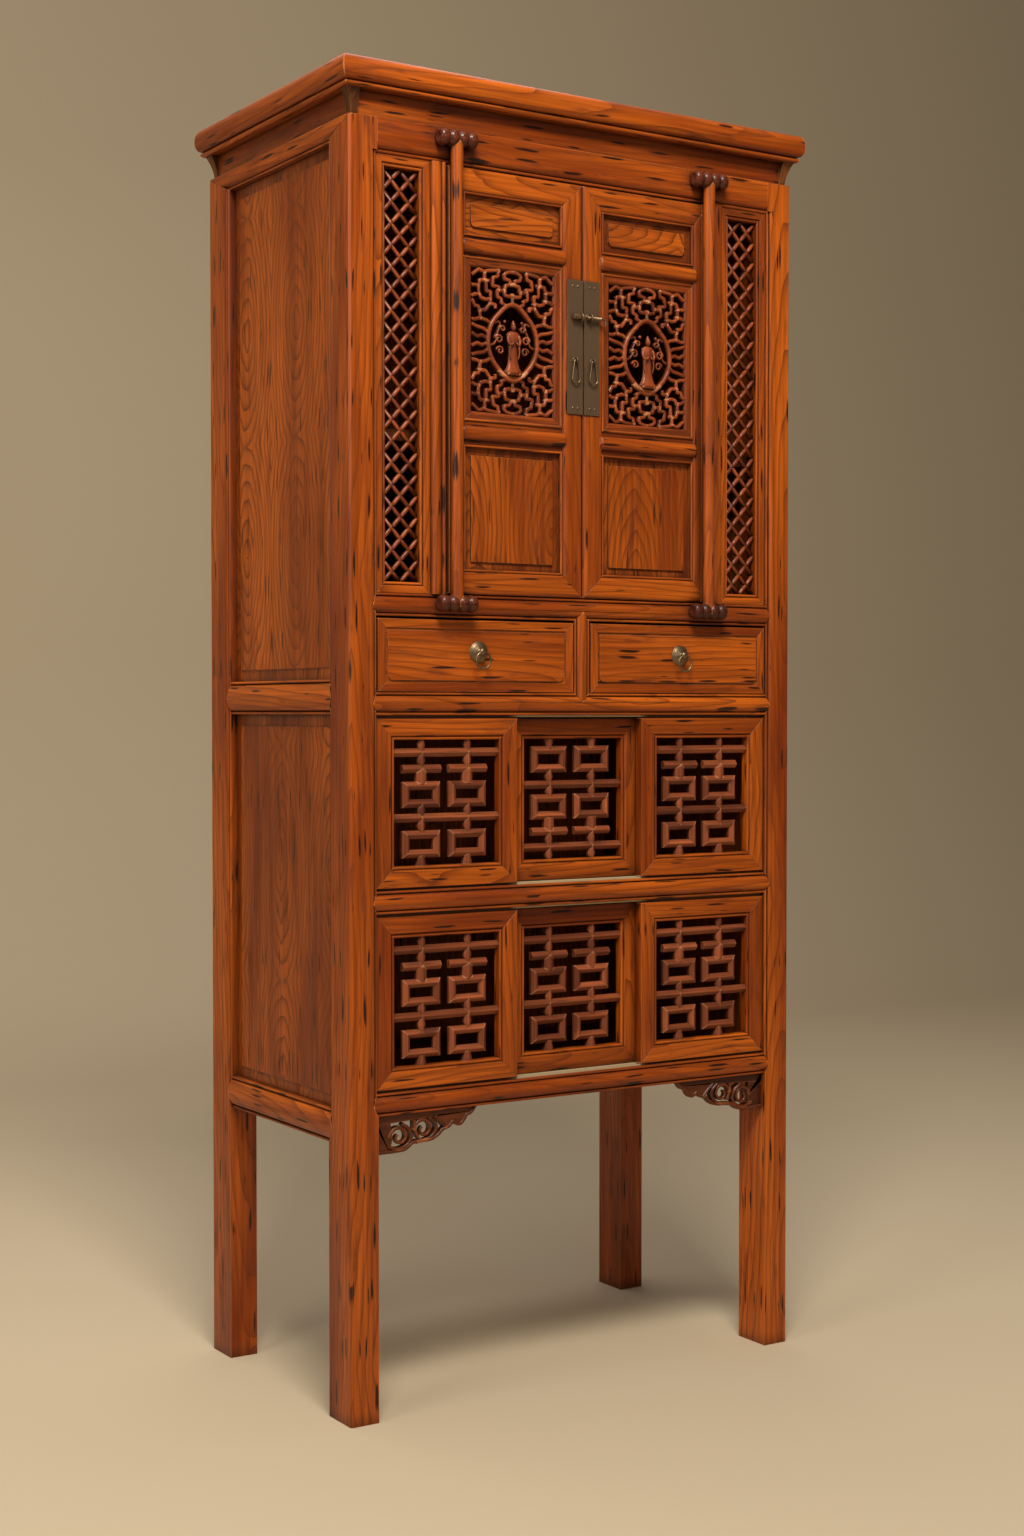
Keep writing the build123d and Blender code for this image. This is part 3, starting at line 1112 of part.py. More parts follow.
# ---------------------------------------------------------------- the whole cabinet
def build():
    """Every node by name, as a list of its solids."""
    parts = {}

    front_rails = {
        "bottom_rail": front_rail(BOTTOM_RAIL_Z),
        "slider_rail": front_rail(MID_RAIL_Z),
        "drawer_rail": front_rail(DRAWER_RAIL_Z) - divider_seat(),
        "door_rail": front_rail(DOOR_RAIL_Z) - divider_seat(),
        "top_rail": top_rail(),
    }
    feet, heads = track_blanks()
    for name in ("bottom_rail", "slider_rail", "drawer_rail"):
        front_rails[name] = cut_by(front_rails[name], feet + heads)

    right_rails = [on_side(solid) for solid in side_rail_set()]
    side_rails = [piece for solid in right_rails for piece in both_sides(solid)]
    back_rails = [on_back(solid) for solid in back_rail_set()]
    right_panels = [on_side(solid) for solid in panel_set(SIDE_LENGTH)]

    side_seats = [seat for solid in side_rail_seats() for seat in both_sides(on_side(solid))]
    posts = {
        "front_left_post": post_stock(-1, False),
        "front_right_post": post_stock(1, False),
        "back_left_post": post_stock(-1, True),
        "back_right_post": post_stock(1, True),
    }
    for name, solid in posts.items():
        parts[name] = [cut_by(solid, side_seats + front_rail_seats())]
    for name, solid in front_rails.items():
        parts[name] = [solid]
    parts["drawer_divider"] = [divider()]
    parts["side_rails"] = side_rails
    parts["side_panels"] = [piece for solid in right_panels for piece in both_sides(solid)]
    parts["back_rails"] = back_rails
    parts["back_panels"] = [on_back(solid) for solid in panel_set(INNER_WIDTH)]
    parts["cap"] = cap()
    parts["frieze"] = frieze()

    standing = list(posts.values()) + side_rails + back_rails
    shelf_top = DOOR_Z + UPPER_SHELF_HEIGHT
    parts["shelves"] = [board(top, standing) for top in (shelf_top, UPPER_SLIDER_Z)]
    parts["upper_floor"] = [board(DOOR_Z, standing)]
    parts["drawer_deck"] = [board(DRAWER_Z, standing)]
    parts["bottom_board"] = [board(LOWER_SLIDER_Z - BOTTOM_BOARD_DROP, standing)]
    under = [bearers(top) for top in (shelf_top, DOOR_Z, UPPER_SLIDER_Z)]
    parts["bearers_and_guides"] = [cut_by(s, standing) for pair in under for s in pair] + drawer_guides()

    parts["left_grille"], parts["right_grille"] = ([solid] for solid in reversed(both_sides(grille())))
    parts["door_posts"] = both_sides(door_post())
    parts["pivot_sockets"] = sockets(front_rails["door_rail"], front_rails["top_rail"])
    parts["spandrels"] = both_sides(spandrel())
    parts["slider_tracks"] = slider_tracks()

    leaf = {
        "stiles": [pivot_stile(), meeting_stile()],
        "rails": leaf_rails(),
        "panels": leaf_panels(),
        "fret": [fret_panel()],
        "pull": [teardrop_pull()],
    }
    for name, solids in leaf.items():
        parts["right_door_" + name] = solids
        parts["left_door_" + name] = [mirrored(solid) for solid in solids]
    parts["right_lock_plate"] = [lock_plate(False)]
    parts["left_lock_plate"] = [mirrored(lock_plate(True))]
    parts["bolt"] = [bolt()]

    drawer = {
        "front": [drawer_front()],
        "box": drawer_box(),
        "rosette": [drawer_rosette()],
        "ring": [drawer_ring()],
    }
    for name, solids in drawer.items():
        parts["right_drawer_" + name] = solids
        parts["left_drawer_" + name] = [mirrored(solid) for solid in solids]

    rows = {
        "lower": slider_row(LOWER_SLIDER_Z, LOWER_SLIDER_OPENING, ()),
        "upper": slider_row(UPPER_SLIDER_Z, UPPER_SLIDER_OPENING, ("middle",)),
    }
    for row, panels in rows.items():
        for place, (frame, work) in panels.items():
            parts[f"{row}_{place}_slider_frame"] = [frame]
            parts[f"{row}_{place}_slider_fretwork"] = [work]
    return parts


def export(parts):
    """Writes one STEP file for each node, moved so that y = 0 is the middle of the depth."""
    os.makedirs("parts", exist_ok=True)
    for name, solids in parts.items():
        pieces = [solid for shape in solids for solid in shape.solids()]
        node = Compound([Pos(0, -CENTRE_Y, 0) * piece for piece in pieces])
        export_step(node, f"parts/{name}.step")


export(build())
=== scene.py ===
"""The looks of a Chinese book cabinet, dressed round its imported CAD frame. Metres, +Z up, front to -Y."""
import json
import math
import random

import bmesh
import bpy
from mathutils import Matrix, Vector


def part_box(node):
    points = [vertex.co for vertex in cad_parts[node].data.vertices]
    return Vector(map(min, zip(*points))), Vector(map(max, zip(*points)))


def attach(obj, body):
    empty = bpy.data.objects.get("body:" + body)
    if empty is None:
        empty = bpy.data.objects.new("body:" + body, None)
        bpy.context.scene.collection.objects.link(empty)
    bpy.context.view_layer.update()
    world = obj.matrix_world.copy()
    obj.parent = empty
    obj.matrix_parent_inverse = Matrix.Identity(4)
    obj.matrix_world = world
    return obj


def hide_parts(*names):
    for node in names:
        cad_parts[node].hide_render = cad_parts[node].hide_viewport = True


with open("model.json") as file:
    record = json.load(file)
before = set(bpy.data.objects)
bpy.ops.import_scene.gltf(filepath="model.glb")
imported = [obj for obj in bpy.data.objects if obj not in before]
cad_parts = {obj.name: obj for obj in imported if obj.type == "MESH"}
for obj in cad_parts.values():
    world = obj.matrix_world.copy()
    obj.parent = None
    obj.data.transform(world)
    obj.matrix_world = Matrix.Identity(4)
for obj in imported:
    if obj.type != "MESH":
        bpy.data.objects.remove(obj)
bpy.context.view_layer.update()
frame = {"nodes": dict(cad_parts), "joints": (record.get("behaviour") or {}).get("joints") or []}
random.seed(11)

X, Y, Z = Vector((1, 0, 0)), Vector((0, 1, 0)), Vector((0, 0, 1))


# ---------------------------------------------------------------- places, read from the frame
def span(node):
    """A node's box as six numbers: x0, x1, y0, y1, z0, z1."""
    low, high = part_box(node)
    return low.x, high.x, low.y, high.y, low.z, high.z


def heights(node):
    """Foot and head of a node."""
    return span(node)[4:]


def joint_place(name):
    """A point on the axis of a joint."""
    return Vector(next(joint["pos_m"] for joint in frame["joints"] if joint["name"] == name))


# HALF and INNER are the distances of a post's outer and inner face from the middle
INNER, HALF, FRONT, POST_BACK, FLOOR_Z, FRAME_TOP = span("front_right_post")
POST_DEPTH = POST_BACK - FRONT
BACK = span("back_right_post")[3]
SIDES = (("left", -1), ("right", 1))


# ---------------------------------------------------------------- shaders
def srgb(red, green, blue):
    """A linear colour from 0 to 255 values."""
    def linear(value):
        share = value / 255
        return share / 12.92 if share <= 0.04045 else ((share + 0.055) / 1.055) ** 2.4
    return linear(red), linear(green), linear(blue), 1.0


class Graph:
    """A material whose nodes are added and linked in one call each."""

    def __init__(self, name):
        self.material = bpy.data.materials.new(name)
        self.material.use_nodes = True
        self.tree = self.material.node_tree
        self.shader = self.tree.nodes["Principled BSDF"]

    def put(self, socket, value):
        if isinstance(value, bpy.types.NodeSocket):
            self.tree.links.new(value, socket)
        else:
            socket.default_value = value

    def node(self, kind, inputs, **settings):
        node = self.tree.nodes.new("ShaderNode" + kind)
        for key, value in settings.items():
            setattr(node, key, value)
        for key, value in inputs.items():
            self.put(node.inputs[key], value)
        return node

    def math(self, operation, first, second=0.0):
        return self.node("Math", {0: first, 1: second}, operation=operation).outputs[0]

    def times(self, first, second):
        return self.math("MULTIPLY", first, second)

    def plus(self, first, second):
        return self.math("ADD", first, second)

    def scaled(self, vector, along, depth, across):
        inputs = {0: vector, 1: (along, depth, across)}
        return self.node("VectorMath", inputs, operation="MULTIPLY").outputs[0]

    def noise(self, vector, detail=2.0, roughness=0.5):
        inputs = {"Vector": vector, "Scale": 1.0, "Detail": detail, "Roughness": roughness}
        return self.node("TexNoise", inputs).outputs[0]

    def step(self, value, low, high, to_low=0.0, to_high=1.0):
        inputs = {"Value": value, "From Min": low, "From Max": high, "To Min": to_low, "To Max": to_high}
        return self.node("MapRange", inputs, interpolation_type="SMOOTHSTEP").outputs[0]

    def mix(self, factor, first, second, blend="MIX"):
        node = self.node("Mix", {0: factor, 6: first, 7: second}, data_type="RGBA", blend_type=blend)
        return node.outputs[2]

    def shaded(self, colour, share):
        grey = self.node("CombineColor", {0: share, 1: share, 2: share}).outputs[0]
        return self.mix(1.0, colour, grey, "MULTIPLY")

    def occlusion(self, distance, inside):
        return self.node("AmbientOcclusion", {"Distance": distance}, samples=3, inside=inside).outputs["AO"]

    def bump(self, height, strength, distance):
        inputs = {"Height": height, "Strength": strength, "Distance": distance}
        self.put(self.shader.inputs["Normal"], self.node("Bump", inputs).outputs[0])

    def surface(self, **constants):
        for key, value in constants.items():
            self.shader.inputs[key.replace("_", " ")].default_value = value


def grain_coordinates(graph, axis):
    """Places in the timber, x along the grain: a mesh attribute, or on CAD nodes from their x or z axis."""
    if axis is None:
        return graph.node("Attribute", {}, attribute_name="grain").outputs["Vector"]
    place = graph.node("TexCoord", {}).outputs["Object"]
    parts = graph.node("SeparateXYZ", {0: place}).outputs
    along, across = (0, 2) if axis == "X" else (2, 0)
    return graph.node("CombineXYZ", {0: parts[along], 1: parts[1], 2: parts[across]}).outputs[0]


INK, TARNISH = srgb(32, 15, 9), srgb(20, 14, 10)
# the last colour is the pale of rubbed arrises, which also serves as a painted highlight
PALE, DEEP, WEAR_AND_HIGHLIGHT = (190, 92, 20), (126, 50, 9), (240, 156, 92)
RINGS_PER_METRE = 120.0


def wood(name, pale=PALE, deep=DEEP, rings=0.7, marks=0.95, wear_and_highlight=None, gloss=0.3, crease_shade=0.9, axis=None,
         slant=0.09, bare=None):
    """Lacquered wood: growth rings, fibres, smoky streaks and dark dashes, under signs of age, painted shade
    and painted highlights.

    pale, deep, wear_and_highlight and bare are colours from 0 to 255; wear_and_highlight is the pale of
    rubbed arrises carrying a painted highlight. rings, marks and crease_shade are shares of ink; crease_shade
    is the painted shade in the creases. gloss is the least roughness, and slant the slope of the heart along
    the board.
    """
    graph = Graph(name)
    pale, deep = srgb(*pale), srgb(*deep)
    place = grain_coordinates(graph, axis)
    sway = graph.scaled(graph.noise(graph.scaled(place, 2.5, 10.0, 10.0)), 0.0, 0.010, 0.016)
    swayed = graph.node("VectorMath", {0: place, 1: sway}, operation="ADD").outputs[0]
    tone = graph.noise(graph.scaled(swayed, 1.6, 12.0, 12.0), 3.0, 0.55)
    smoke = graph.noise(graph.scaled(swayed, 9.0, 55.0, 55.0), 3.0, 0.6)
    strand = graph.noise(graph.scaled(swayed, 4.0, 190.0, 190.0))
    fibre = graph.noise(graph.scaled(place, 11.0, 700.0, 700.0), 2.0, 0.6)
    dash = dashes(graph, swayed, fibre)

    colour = graph.mix(graph.step(tone, 0.28, 0.72), deep, pale)
    colour = graph.shaded(colour, graph.step(strand, 0.3, 0.7, 0.74, 1.14))
    colour = graph.shaded(colour, graph.step(fibre, 0.25, 0.75, 0.86, 1.10))
    ring = graph.times(growth_rings(graph, swayed, slant), graph.step(tone, 0.35, 0.6, 0.45, 1.0))
    colour = graph.mix(graph.times(ring, rings), colour, graph.mix(0.7, deep, INK))
    colour = graph.mix(graph.step(smoke, 0.54, 0.74, 0.0, 0.65), colour, graph.mix(0.45, INK, deep))
    colour = graph.mix(graph.times(dash, marks), colour, INK)
    graph.put(graph.shader.inputs["Base Color"], wear_and_painted_light(graph, colour, place, crease_shade, wear_and_highlight, bare))

    graph.put(graph.shader.inputs["Roughness"], graph.step(smoke, 0.3, 0.8, gloss, gloss + 0.22))
    relief = graph.plus(graph.times(fibre, 0.3), graph.times(tone, 2.0))
    graph.bump(graph.math("SUBTRACT", relief, graph.times(dash, 0.9)), 0.3, 0.0006)
    graph.surface(Specular_IOR_Level=0.22, Coat_Weight=0.1, Coat_Roughness=0.22)
    return graph.material


def wear_and_painted_light(graph, colour, place, crease_shade, wear_and_highlight, bare):
    """Painted shade in the creases, a stretch about the middle rubbed bare, and arrises rubbed pale under a
    painted highlight.
    """
    # painted shade: the colour darkens towards ink where occlusion finds a crease or recess
    colour = graph.mix(graph.step(graph.occlusion(0.022, False), 0.25, 1.0, crease_shade, 0.0), colour, INK)
    if bare:
        along = graph.node("SeparateXYZ", {0: place}).outputs[0]
        middle = graph.step(graph.math("ABSOLUTE", along), 0.105, 0.125, 1.0, 0.0)
        colour = graph.mix(middle, colour, srgb(*bare))
    if wear_and_highlight:
        # painted highlight: convex arrises, found by occlusion from inside, turn pale as where they are
        # rubbed
        thin = graph.step(graph.occlusion(0.0012, True), 0.38, 0.78, 1.0, 0.0)
        rubbed = graph.step(graph.noise(graph.scaled(place, 4.0, 60.0, 60.0), 3.0), 0.36, 0.66, 0.25, 1.0)
        colour = graph.mix(graph.times(graph.times(thin, rubbed), 0.7), colour, srgb(*wear_and_highlight))
    return colour


def dashes(graph, place, fibre):
    """Short dark marks along the grain, in some cells of a stretched pattern on the face."""
    along, depth, across = graph.node("SeparateXYZ", {0: place}).outputs
    flat = graph.node("CombineXYZ", {0: along, 1: graph.plus(depth, across)}).outputs[0]
    cells = graph.node("TexVoronoi", {"Vector": graph.scaled(flat, 13.0, 130.0, 1.0), "Scale": 1.0},
                       voronoi_dimensions="2D")
    chosen = graph.node("SeparateColor", {0: cells.outputs["Color"]}).outputs[0]
    edge = graph.math("SUBTRACT", graph.step(chosen, 0.62, 1.0, 0.0, 0.30), cells.outputs["Distance"])
    frayed = graph.plus(edge, graph.times(graph.math("SUBTRACT", fibre, 0.5), 0.45))
    return graph.step(frayed, 0.0, 0.12)


def growth_rings(graph, place, slant):
    """Arched lines of late wood: steps in the distance from a heart that slants through the board."""
    along, depth, across = graph.node("SeparateXYZ", {0: place}).outputs
    aside = graph.math("PINGPONG", across, 0.08)
    under = graph.plus(graph.math("PINGPONG", graph.plus(depth, graph.times(along, slant)), 0.05), 0.01)
    distance = graph.math("SQRT", graph.plus(graph.times(aside, aside), graph.times(under, under)))
    waver = graph.noise(graph.scaled(place, 5.0, 30.0, 30.0))
    count = graph.plus(graph.times(distance, RINGS_PER_METRE), graph.times(waver, 1.6))
    return graph.math("POWER", graph.math("FRACT", count), 4.0)


def metal(name, colour, dull, roughness):
    """Old brass gone brown: patches of tarnish, fine brushing and darker creases."""
    graph = Graph(name)
    place = graph.node("TexCoord", {}).outputs["Object"]
    patch = graph.noise(graph.scaled(place, 60.0, 60.0, 25.0), 4.0, 0.6)
    brush = graph.noise(graph.scaled(place, 900.0, 900.0, 60.0))
    mixed = graph.mix(graph.step(patch, 0.3, 0.8), srgb(*colour), srgb(*dull))
    mixed = graph.mix(graph.step(graph.occlusion(0.006, False), 0.25, 0.95, 0.8, 0.0), mixed, TARNISH)
    graph.put(graph.shader.inputs["Base Color"], mixed)
    graph.put(graph.shader.inputs["Roughness"], graph.step(patch, 0.3, 0.75, roughness, roughness + 0.18))
    graph.bump(graph.plus(graph.times(brush, 0.3), patch), 0.2, 0.0003)
    graph.surface(Metallic=0.85)
    return graph.material


# in these woods the arris colours are rubbed wood and painted highlight at once, and the crease share is
# painted shade
frame_wood = wood("lacquered_frame", wear_and_highlight=WEAR_AND_HIGHLIGHT)
panel_wood = wood("lacquered_panel", (182, 88, 20), (120, 49, 9), rings=0.9, marks=0.7, wear_and_highlight=WEAR_AND_HIGHLIGHT, slant=0.3)
carved_wood = wood("carved_wood", (160, 76, 36), (106, 44, 20), rings=0.2, marks=0.3, wear_and_highlight=(226, 156, 112),
                   gloss=0.26, crease_shade=0.95)
# painted shade: a darker copy of the frame's wood for the border round the fret
shaded_border_wood = wood("shaded_border_wood", (152, 68, 22), (104, 42, 12), marks=0.6, wear_and_highlight=WEAR_AND_HIGHLIGHT)
fretwork_wood = wood("fretwork_wood", (160, 84, 48), (106, 50, 28), rings=0.25, marks=0.5,
                     wear_and_highlight=(214, 152, 116), gloss=0.32)
bracket_wood = wood("bracket_wood", (116, 56, 24), (74, 32, 14), rings=0.2, marks=0.4, wear_and_highlight=(180, 108, 62),
                    gloss=0.36)
corbel_wood = wood("corbel_wood", (134, 78, 34), (88, 46, 18), rings=0.3, marks=0.4, wear_and_highlight=(172, 122, 80),
                   gloss=0.4)
socket_wood = wood("socket_wood", (100, 46, 26), (58, 24, 14), rings=0.15, marks=0.5, wear_and_highlight=(170, 104, 74),
                   gloss=0.18)
plain_wood = wood("plain_wood", (146, 76, 34), (96, 44, 20), marks=0.5, gloss=0.5, axis="X")
back_rail_wood = wood("back_rail_wood", wear_and_highlight=WEAR_AND_HIGHLIGHT, axis="X")
back_panel_wood = wood("back_panel_wood", rings=0.75, wear_and_highlight=WEAR_AND_HIGHLIGHT, axis="Z")
track_wood = wood("track_wood", (120, 60, 26), (78, 36, 16), rings=0.2, marks=0.4, gloss=0.5, axis="X",
                  bare=(178, 156, 120))
lock_metal = metal("lock_metal", (134, 108, 82), (104, 82, 62), 0.44)
pull_metal = metal("pull_metal", (150, 124, 92), (84, 66, 48), 0.3)


# ---------------------------------------------------------------- pieces
def lay(origin, along, depth, across):
    """The matrix that puts local (along, depth, across) into the frame."""
    place = Matrix((along, depth, across)).transposed().to_4x4()
    place.translation = origin
    return place


def fresh_grain():
    """A place of its own in the timber for each board."""
    return Vector([random.uniform(-40, 40) for _ in range(3)])


def linked(name, data):
    """A new object of the scene."""
    thing = bpy.data.objects.new(name, data)
    bpy.context.scene.collection.objects.link(thing)
    return thing


def finished(name, mesh, smooth=True):
    """The object that a mesh in the making becomes."""
    data = bpy.data.meshes.new(name)
    mesh.to_mesh(data)
    mesh.free()
    for face in data.polygons:
        face.use_smooth = smooth
    return linked(name, data)


def skin(mesh, rows, wrap=False):
    """Faces from one row of vertices to the next, with a cap at each end unless the rows wrap round."""
    for low, high in zip(rows, rows[1:] + rows[:1]) if wrap else zip(rows, rows[1:]):
        for i, corner in enumerate(low):
            j = (i + 1) % len(low)
            mesh.faces.new((corner, low[j], high[j], high[i]))
    if not wrap:
        mesh.faces.new(rows[0][::-1])
        mesh.faces.new(rows[-1])


# how far each mitred end stays clear of its mitre
JOINT = 0.00012


class Piece:
    """A mesh in the making. Each board in it carries its own grain coordinates."""

    def __init__(self, name, body, material, slot, stands_for=(), arris=0.0006):
        self.name, self.body, self.material, self.slot = name, body, material, slot
        self.stands_for, self.arris = stands_for, arris
        self.mesh = bmesh.new()
        self.grain = self.mesh.verts.layers.float_vector.new("grain")

    def __enter__(self):
        return self

    def __exit__(self, error, *_):
        if error:
            return
        bmesh.ops.recalc_face_normals(self.mesh, faces=self.mesh.faces)
        self.object = finished(self.name, self.mesh)
        self.object.data.materials.append(self.material)
        if self.arris:
            soften(self.object, self.arris)
        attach(self.object, self.body)
        if self.stands_for:
            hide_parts(*self.stands_for)

    def loft(self, rings, wrap=False):
        """Skins rings of (place, grain) points, with a cap at each end unless they wrap round."""
        rows = []
        for ring in rings:
            row = []
            for place, grain in ring:
                vert = self.mesh.verts.new(place)
                vert[self.grain] = grain
                row.append(vert)
            rows.append(row)
        skin(self.mesh, rows, wrap)

    def board(self, rings, upright=False, wrap=False):
        """Skins rings of points as one board, with its grain along x, or along z where it is upright."""
        offset = fresh_grain()
        self.loft([[(place, (place.zyx if upright else place) + offset) for place in ring]
                   for ring in rings], wrap)

    def beam(self, place, length, section, start=None, end=None):
        """A straight board of one section. start and end tell how far its ends are cut back at a height.

        timber then leads from a place on the board to its grain.
        """
        offset = fresh_grain()
        self.timber = Matrix.Translation(offset) @ place.inverted()
        foot = [Vector((start(across) if start else 0.0, depth, across)) for depth, across in section]
        head = [Vector((length - (end(across) if end else 0.0), depth, across)) for depth, across in section]
        self.loft([[(place @ local, local + offset) for local in ring] for ring in (foot, head)])

    def block(self, x0, x1, y0, y1, z0, z1, along=X):
        """A plain board between two corners, with its grain along x, y or z."""
        depth, across = X if along == Y else Y, X if along == Z else Z
        size = Vector((x1 - x0, y1 - y0, z1 - z0))
        deep, wide = size.dot(depth), size.dot(across)
        self.beam(lay((x0, y0, z0), along, depth, across), size.dot(along),
                  ((0, 0), (deep, 0), (deep, wide), (0, wide)))

    def mitred(self, corner, width, height, borders, section, up=Z, depth=Y):
        """Four boards mitred round a rectangle. borders are left, right, bottom, top; section takes one."""

        def cut(ratio):
            return lambda height: height * ratio + JOINT

        left, right, bottom, top = borders
        corner = Vector(corner)
        boards = (
            (corner, X, up, width, bottom, left, right),
            (corner + X * width + up * height, -X, -up, width, top, right, left),
            (corner + up * height, -up, X, height, left, top, bottom),
            (corner + X * width, up, -X, height, right, bottom, top),
        )
        for origin, along, across, length, own, before, after in boards:
            place = lay(origin, along, depth, across)
            self.beam(place, length, section(own), cut(before / own), cut(after / own))

    def plate(self, outline, front, thickness, along=X):
        """A flat board of any front outline, given as (x, z) points."""
        self.board([front_path(outline, y) for y in (front, front + thickness)], upright=along == Z)

    def strand(self, points, section, normal=-Y, wrap=False, taper=None):
        """Sweeps a section of (aside, out) points along a flat path, with out along the path's normal."""
        count = len(points)
        reach = points[-1] - points[0]
        rings = []
        for i, point in enumerate(points):
            before = points[i - 1] if wrap or i else None
            after = points[(i + 1) % count] if wrap or i < count - 1 else None
            come = (point - before).normalized() if before else (after - point).normalized()
            leave = (after - point).normalized() if after else come
            tangent = (come + leave).normalized()
            aside = tangent.cross(normal) / max(0.5, tangent.dot(leave))
            size = taper(i / (count - 1)) if taper else 1.0
            rings.append([point + (aside * a + normal * out) * size for a, out in section])
        self.board(rings, abs(reach.z) > abs(reach.x), wrap)

    def turned(self, centre, axis, profile, sides):
        """A turned shape: profile is (distance along the axis, radius)."""
        offset = fresh_grain()
        first = axis.cross(X if abs(axis.x) < 0.9 else Z).normalized()
        second = axis.cross(first)
        rings = []
        for along, radius in profile:
            ring = []
            for i in range(sides):
                angle = math.tau * i / sides
                reach = first * math.cos(angle) + second * math.sin(angle)
                point = Vector(centre) + axis * along + reach * radius
                ring.append((point, Vector((along, *(reach * radius).yz)) + offset))
            rings.append(ring)
        self.loft(rings)


def soften(thing, width):
    """Rounds the arrises and keeps the flats flat."""
    bevel = thing.modifiers.new("arris", "BEVEL")
    bevel.width = width
    bevel.segments = 2
    bevel.limit_method = "ANGLE"
    bevel.angle_limit = math.radians(32)
    thing.modifiers.new("shading", "WEIGHTED_NORMAL").keep_sharp = False


def dress(node, material, arris=0.0008):
    """Gives a CAD node its finish and softened edges."""
    thing = frame["nodes"][node]
    for slot in thing.material_slots:
        slot.material = material
    for face in thing.data.polygons:
        face.use_smooth = True
    weld = thing.modifiers.new("weld", "WELD")
    weld.merge_threshold = 0.00002
    soften(thing, arris)


def arc(centre, radius, start, end, steps):
    """Points on an arc from one angle in degrees to another."""
    angles = [math.radians(start + (end - start) * i / steps) for i in range(steps + 1)]
    return [(centre[0] + radius * math.cos(a), centre[1] + radius * math.sin(a)) for a in angles]


def circle(radius, sides):
    angles = [math.tau * i / sides for i in range(sides)]
    return [(radius * math.cos(a), radius * math.sin(a)) for a in angles]


def mirrored(half, middle=None):
    """A section of (aside, out) points from one half, outside first, and its ridge's height if it has one."""
    ridge = [] if middle is None else [(0.0, middle)]
    return [(-aside, out) for aside, out in half] + ridge + list(reversed(half))


def rounded(x0, x1, z0, z1, radii):
    """A rectangle with a radius for each corner: lower left, lower right, upper right, upper left."""
    outline = []
    corners = ((x0, z0, 1, 1, 180), (x1, z0, -1, 1, 270), (x1, z1, -1, -1, 0), (x0, z1, 1, -1, 90))
    for (x, z, into_x, into_z, start), radius in zip(corners, radii):
        if radius:
            outline += arc((x + into_x * radius, z + into_z * radius), radius, start, start + 90, 6)
        else:
            outline.append((x, z))
    return outline


def flowing(points, rounds=1, share=0.25):
    """Cuts the corners of an open path by a share of its legs, so that it flows."""
    for _ in range(rounds):
        cut = [points[0]]
        for a, b in zip(points, points[1:]):
            cut += [a.lerp(b, share), a.lerp(b, 1 - share)]
        points = cut + [points[-1]]
    return points


def front_path(points, y):
    """A path of (x, z) points at a depth."""
    return [Vector((x, y, z)) for x, z in points]


# ---------------------------------------------------------------- sections
# points of a section are (depth, across) from a board's front edge
BEAD = 0.004
CREASE = 0.008


def bead(height, setback, size=BEAD):
    """A small half-round along an edge, from one height across to the next."""
    radius = size / 2
    return arc((setback + radius, height + radius), radius, -90, -270, 6)


def belly(low, high, sag, fullness, steps=14):
    """The swelling face between two creases."""
    points = []
    for i in range(steps + 1):
        share = abs(2 * i / steps - 1)
        points.append((sag * (1 - (1 - share ** fullness) ** (1 / fullness)), low + (high - low) * i / steps))
    return points


def rail_section(height, depth, fullness=2.0):
    """A swelling face between two beads."""
    middle = belly(BEAD, height - BEAD, CREASE, fullness)
    return [(depth, 0)] + bead(0, BEAD) + middle + bead(height - BEAD, BEAD) + [(depth, height)]


def edged_section(height, depth, edge):
    """A flat rail with a quarter-round down to a crease, and a bead along its lower edge."""
    turns = [math.radians(t) for t in range(0, 91, 15)]
    curve = [(CREASE * (1 - math.sin(t)), edge + 1.3 * CREASE * (1 - math.cos(t))) for t in turns]
    return [(depth, 0)] + bead(0, BEAD, edge) + curve + [(0, height), (depth, height)]


def pointed(height, tongue):
    """The cut of a rail's pointed tongue, which laps the post."""
    return lambda across: -tongue * (1 - abs(2 * across / height - 1))


# ---------------------------------------------------------------- the standing frame
FRONT_RAILS = ("bottom_rail", "slider_rail", "drawer_rail", "door_rail")
RAIL_DEPTH = 0.046
NOTCHED_ARRIS = 0.0009
# how far the points of the rails and of the divider reach, how deep their seats are, and by how much a cut
# starts outside the edge
TONGUE, DIVIDER_TONGUE, SEAT_DEPTH, OVERCUT = 0.008, 0.014, 0.0105, 0.0005


def post_plan(on_front, on_side):
    """A post's plan from its outer corner, x inwards and y back. on_front and on_side are 1 for a bead."""
    width, arris = HALF - INNER, 0.0028
    inset, fall, proud = 0.0045, 0.005, 0.0027
    edge = [(2, 0), (1.3, 0.3 * fall), (1, fall)]
    edge += [(t, fall - proud * math.sin(math.pi * t)) for t in (0.75, 0.5, 0.25)] + [(0, fall)]
    front = [(width - inset * t, sink * on_front) for t, sink in edge]
    side = [(sink * on_side, POST_DEPTH - inset * t) for t, sink in reversed(edge)]
    return [(0, arris), (arris, 0)] + front + [(width, POST_DEPTH)] + side


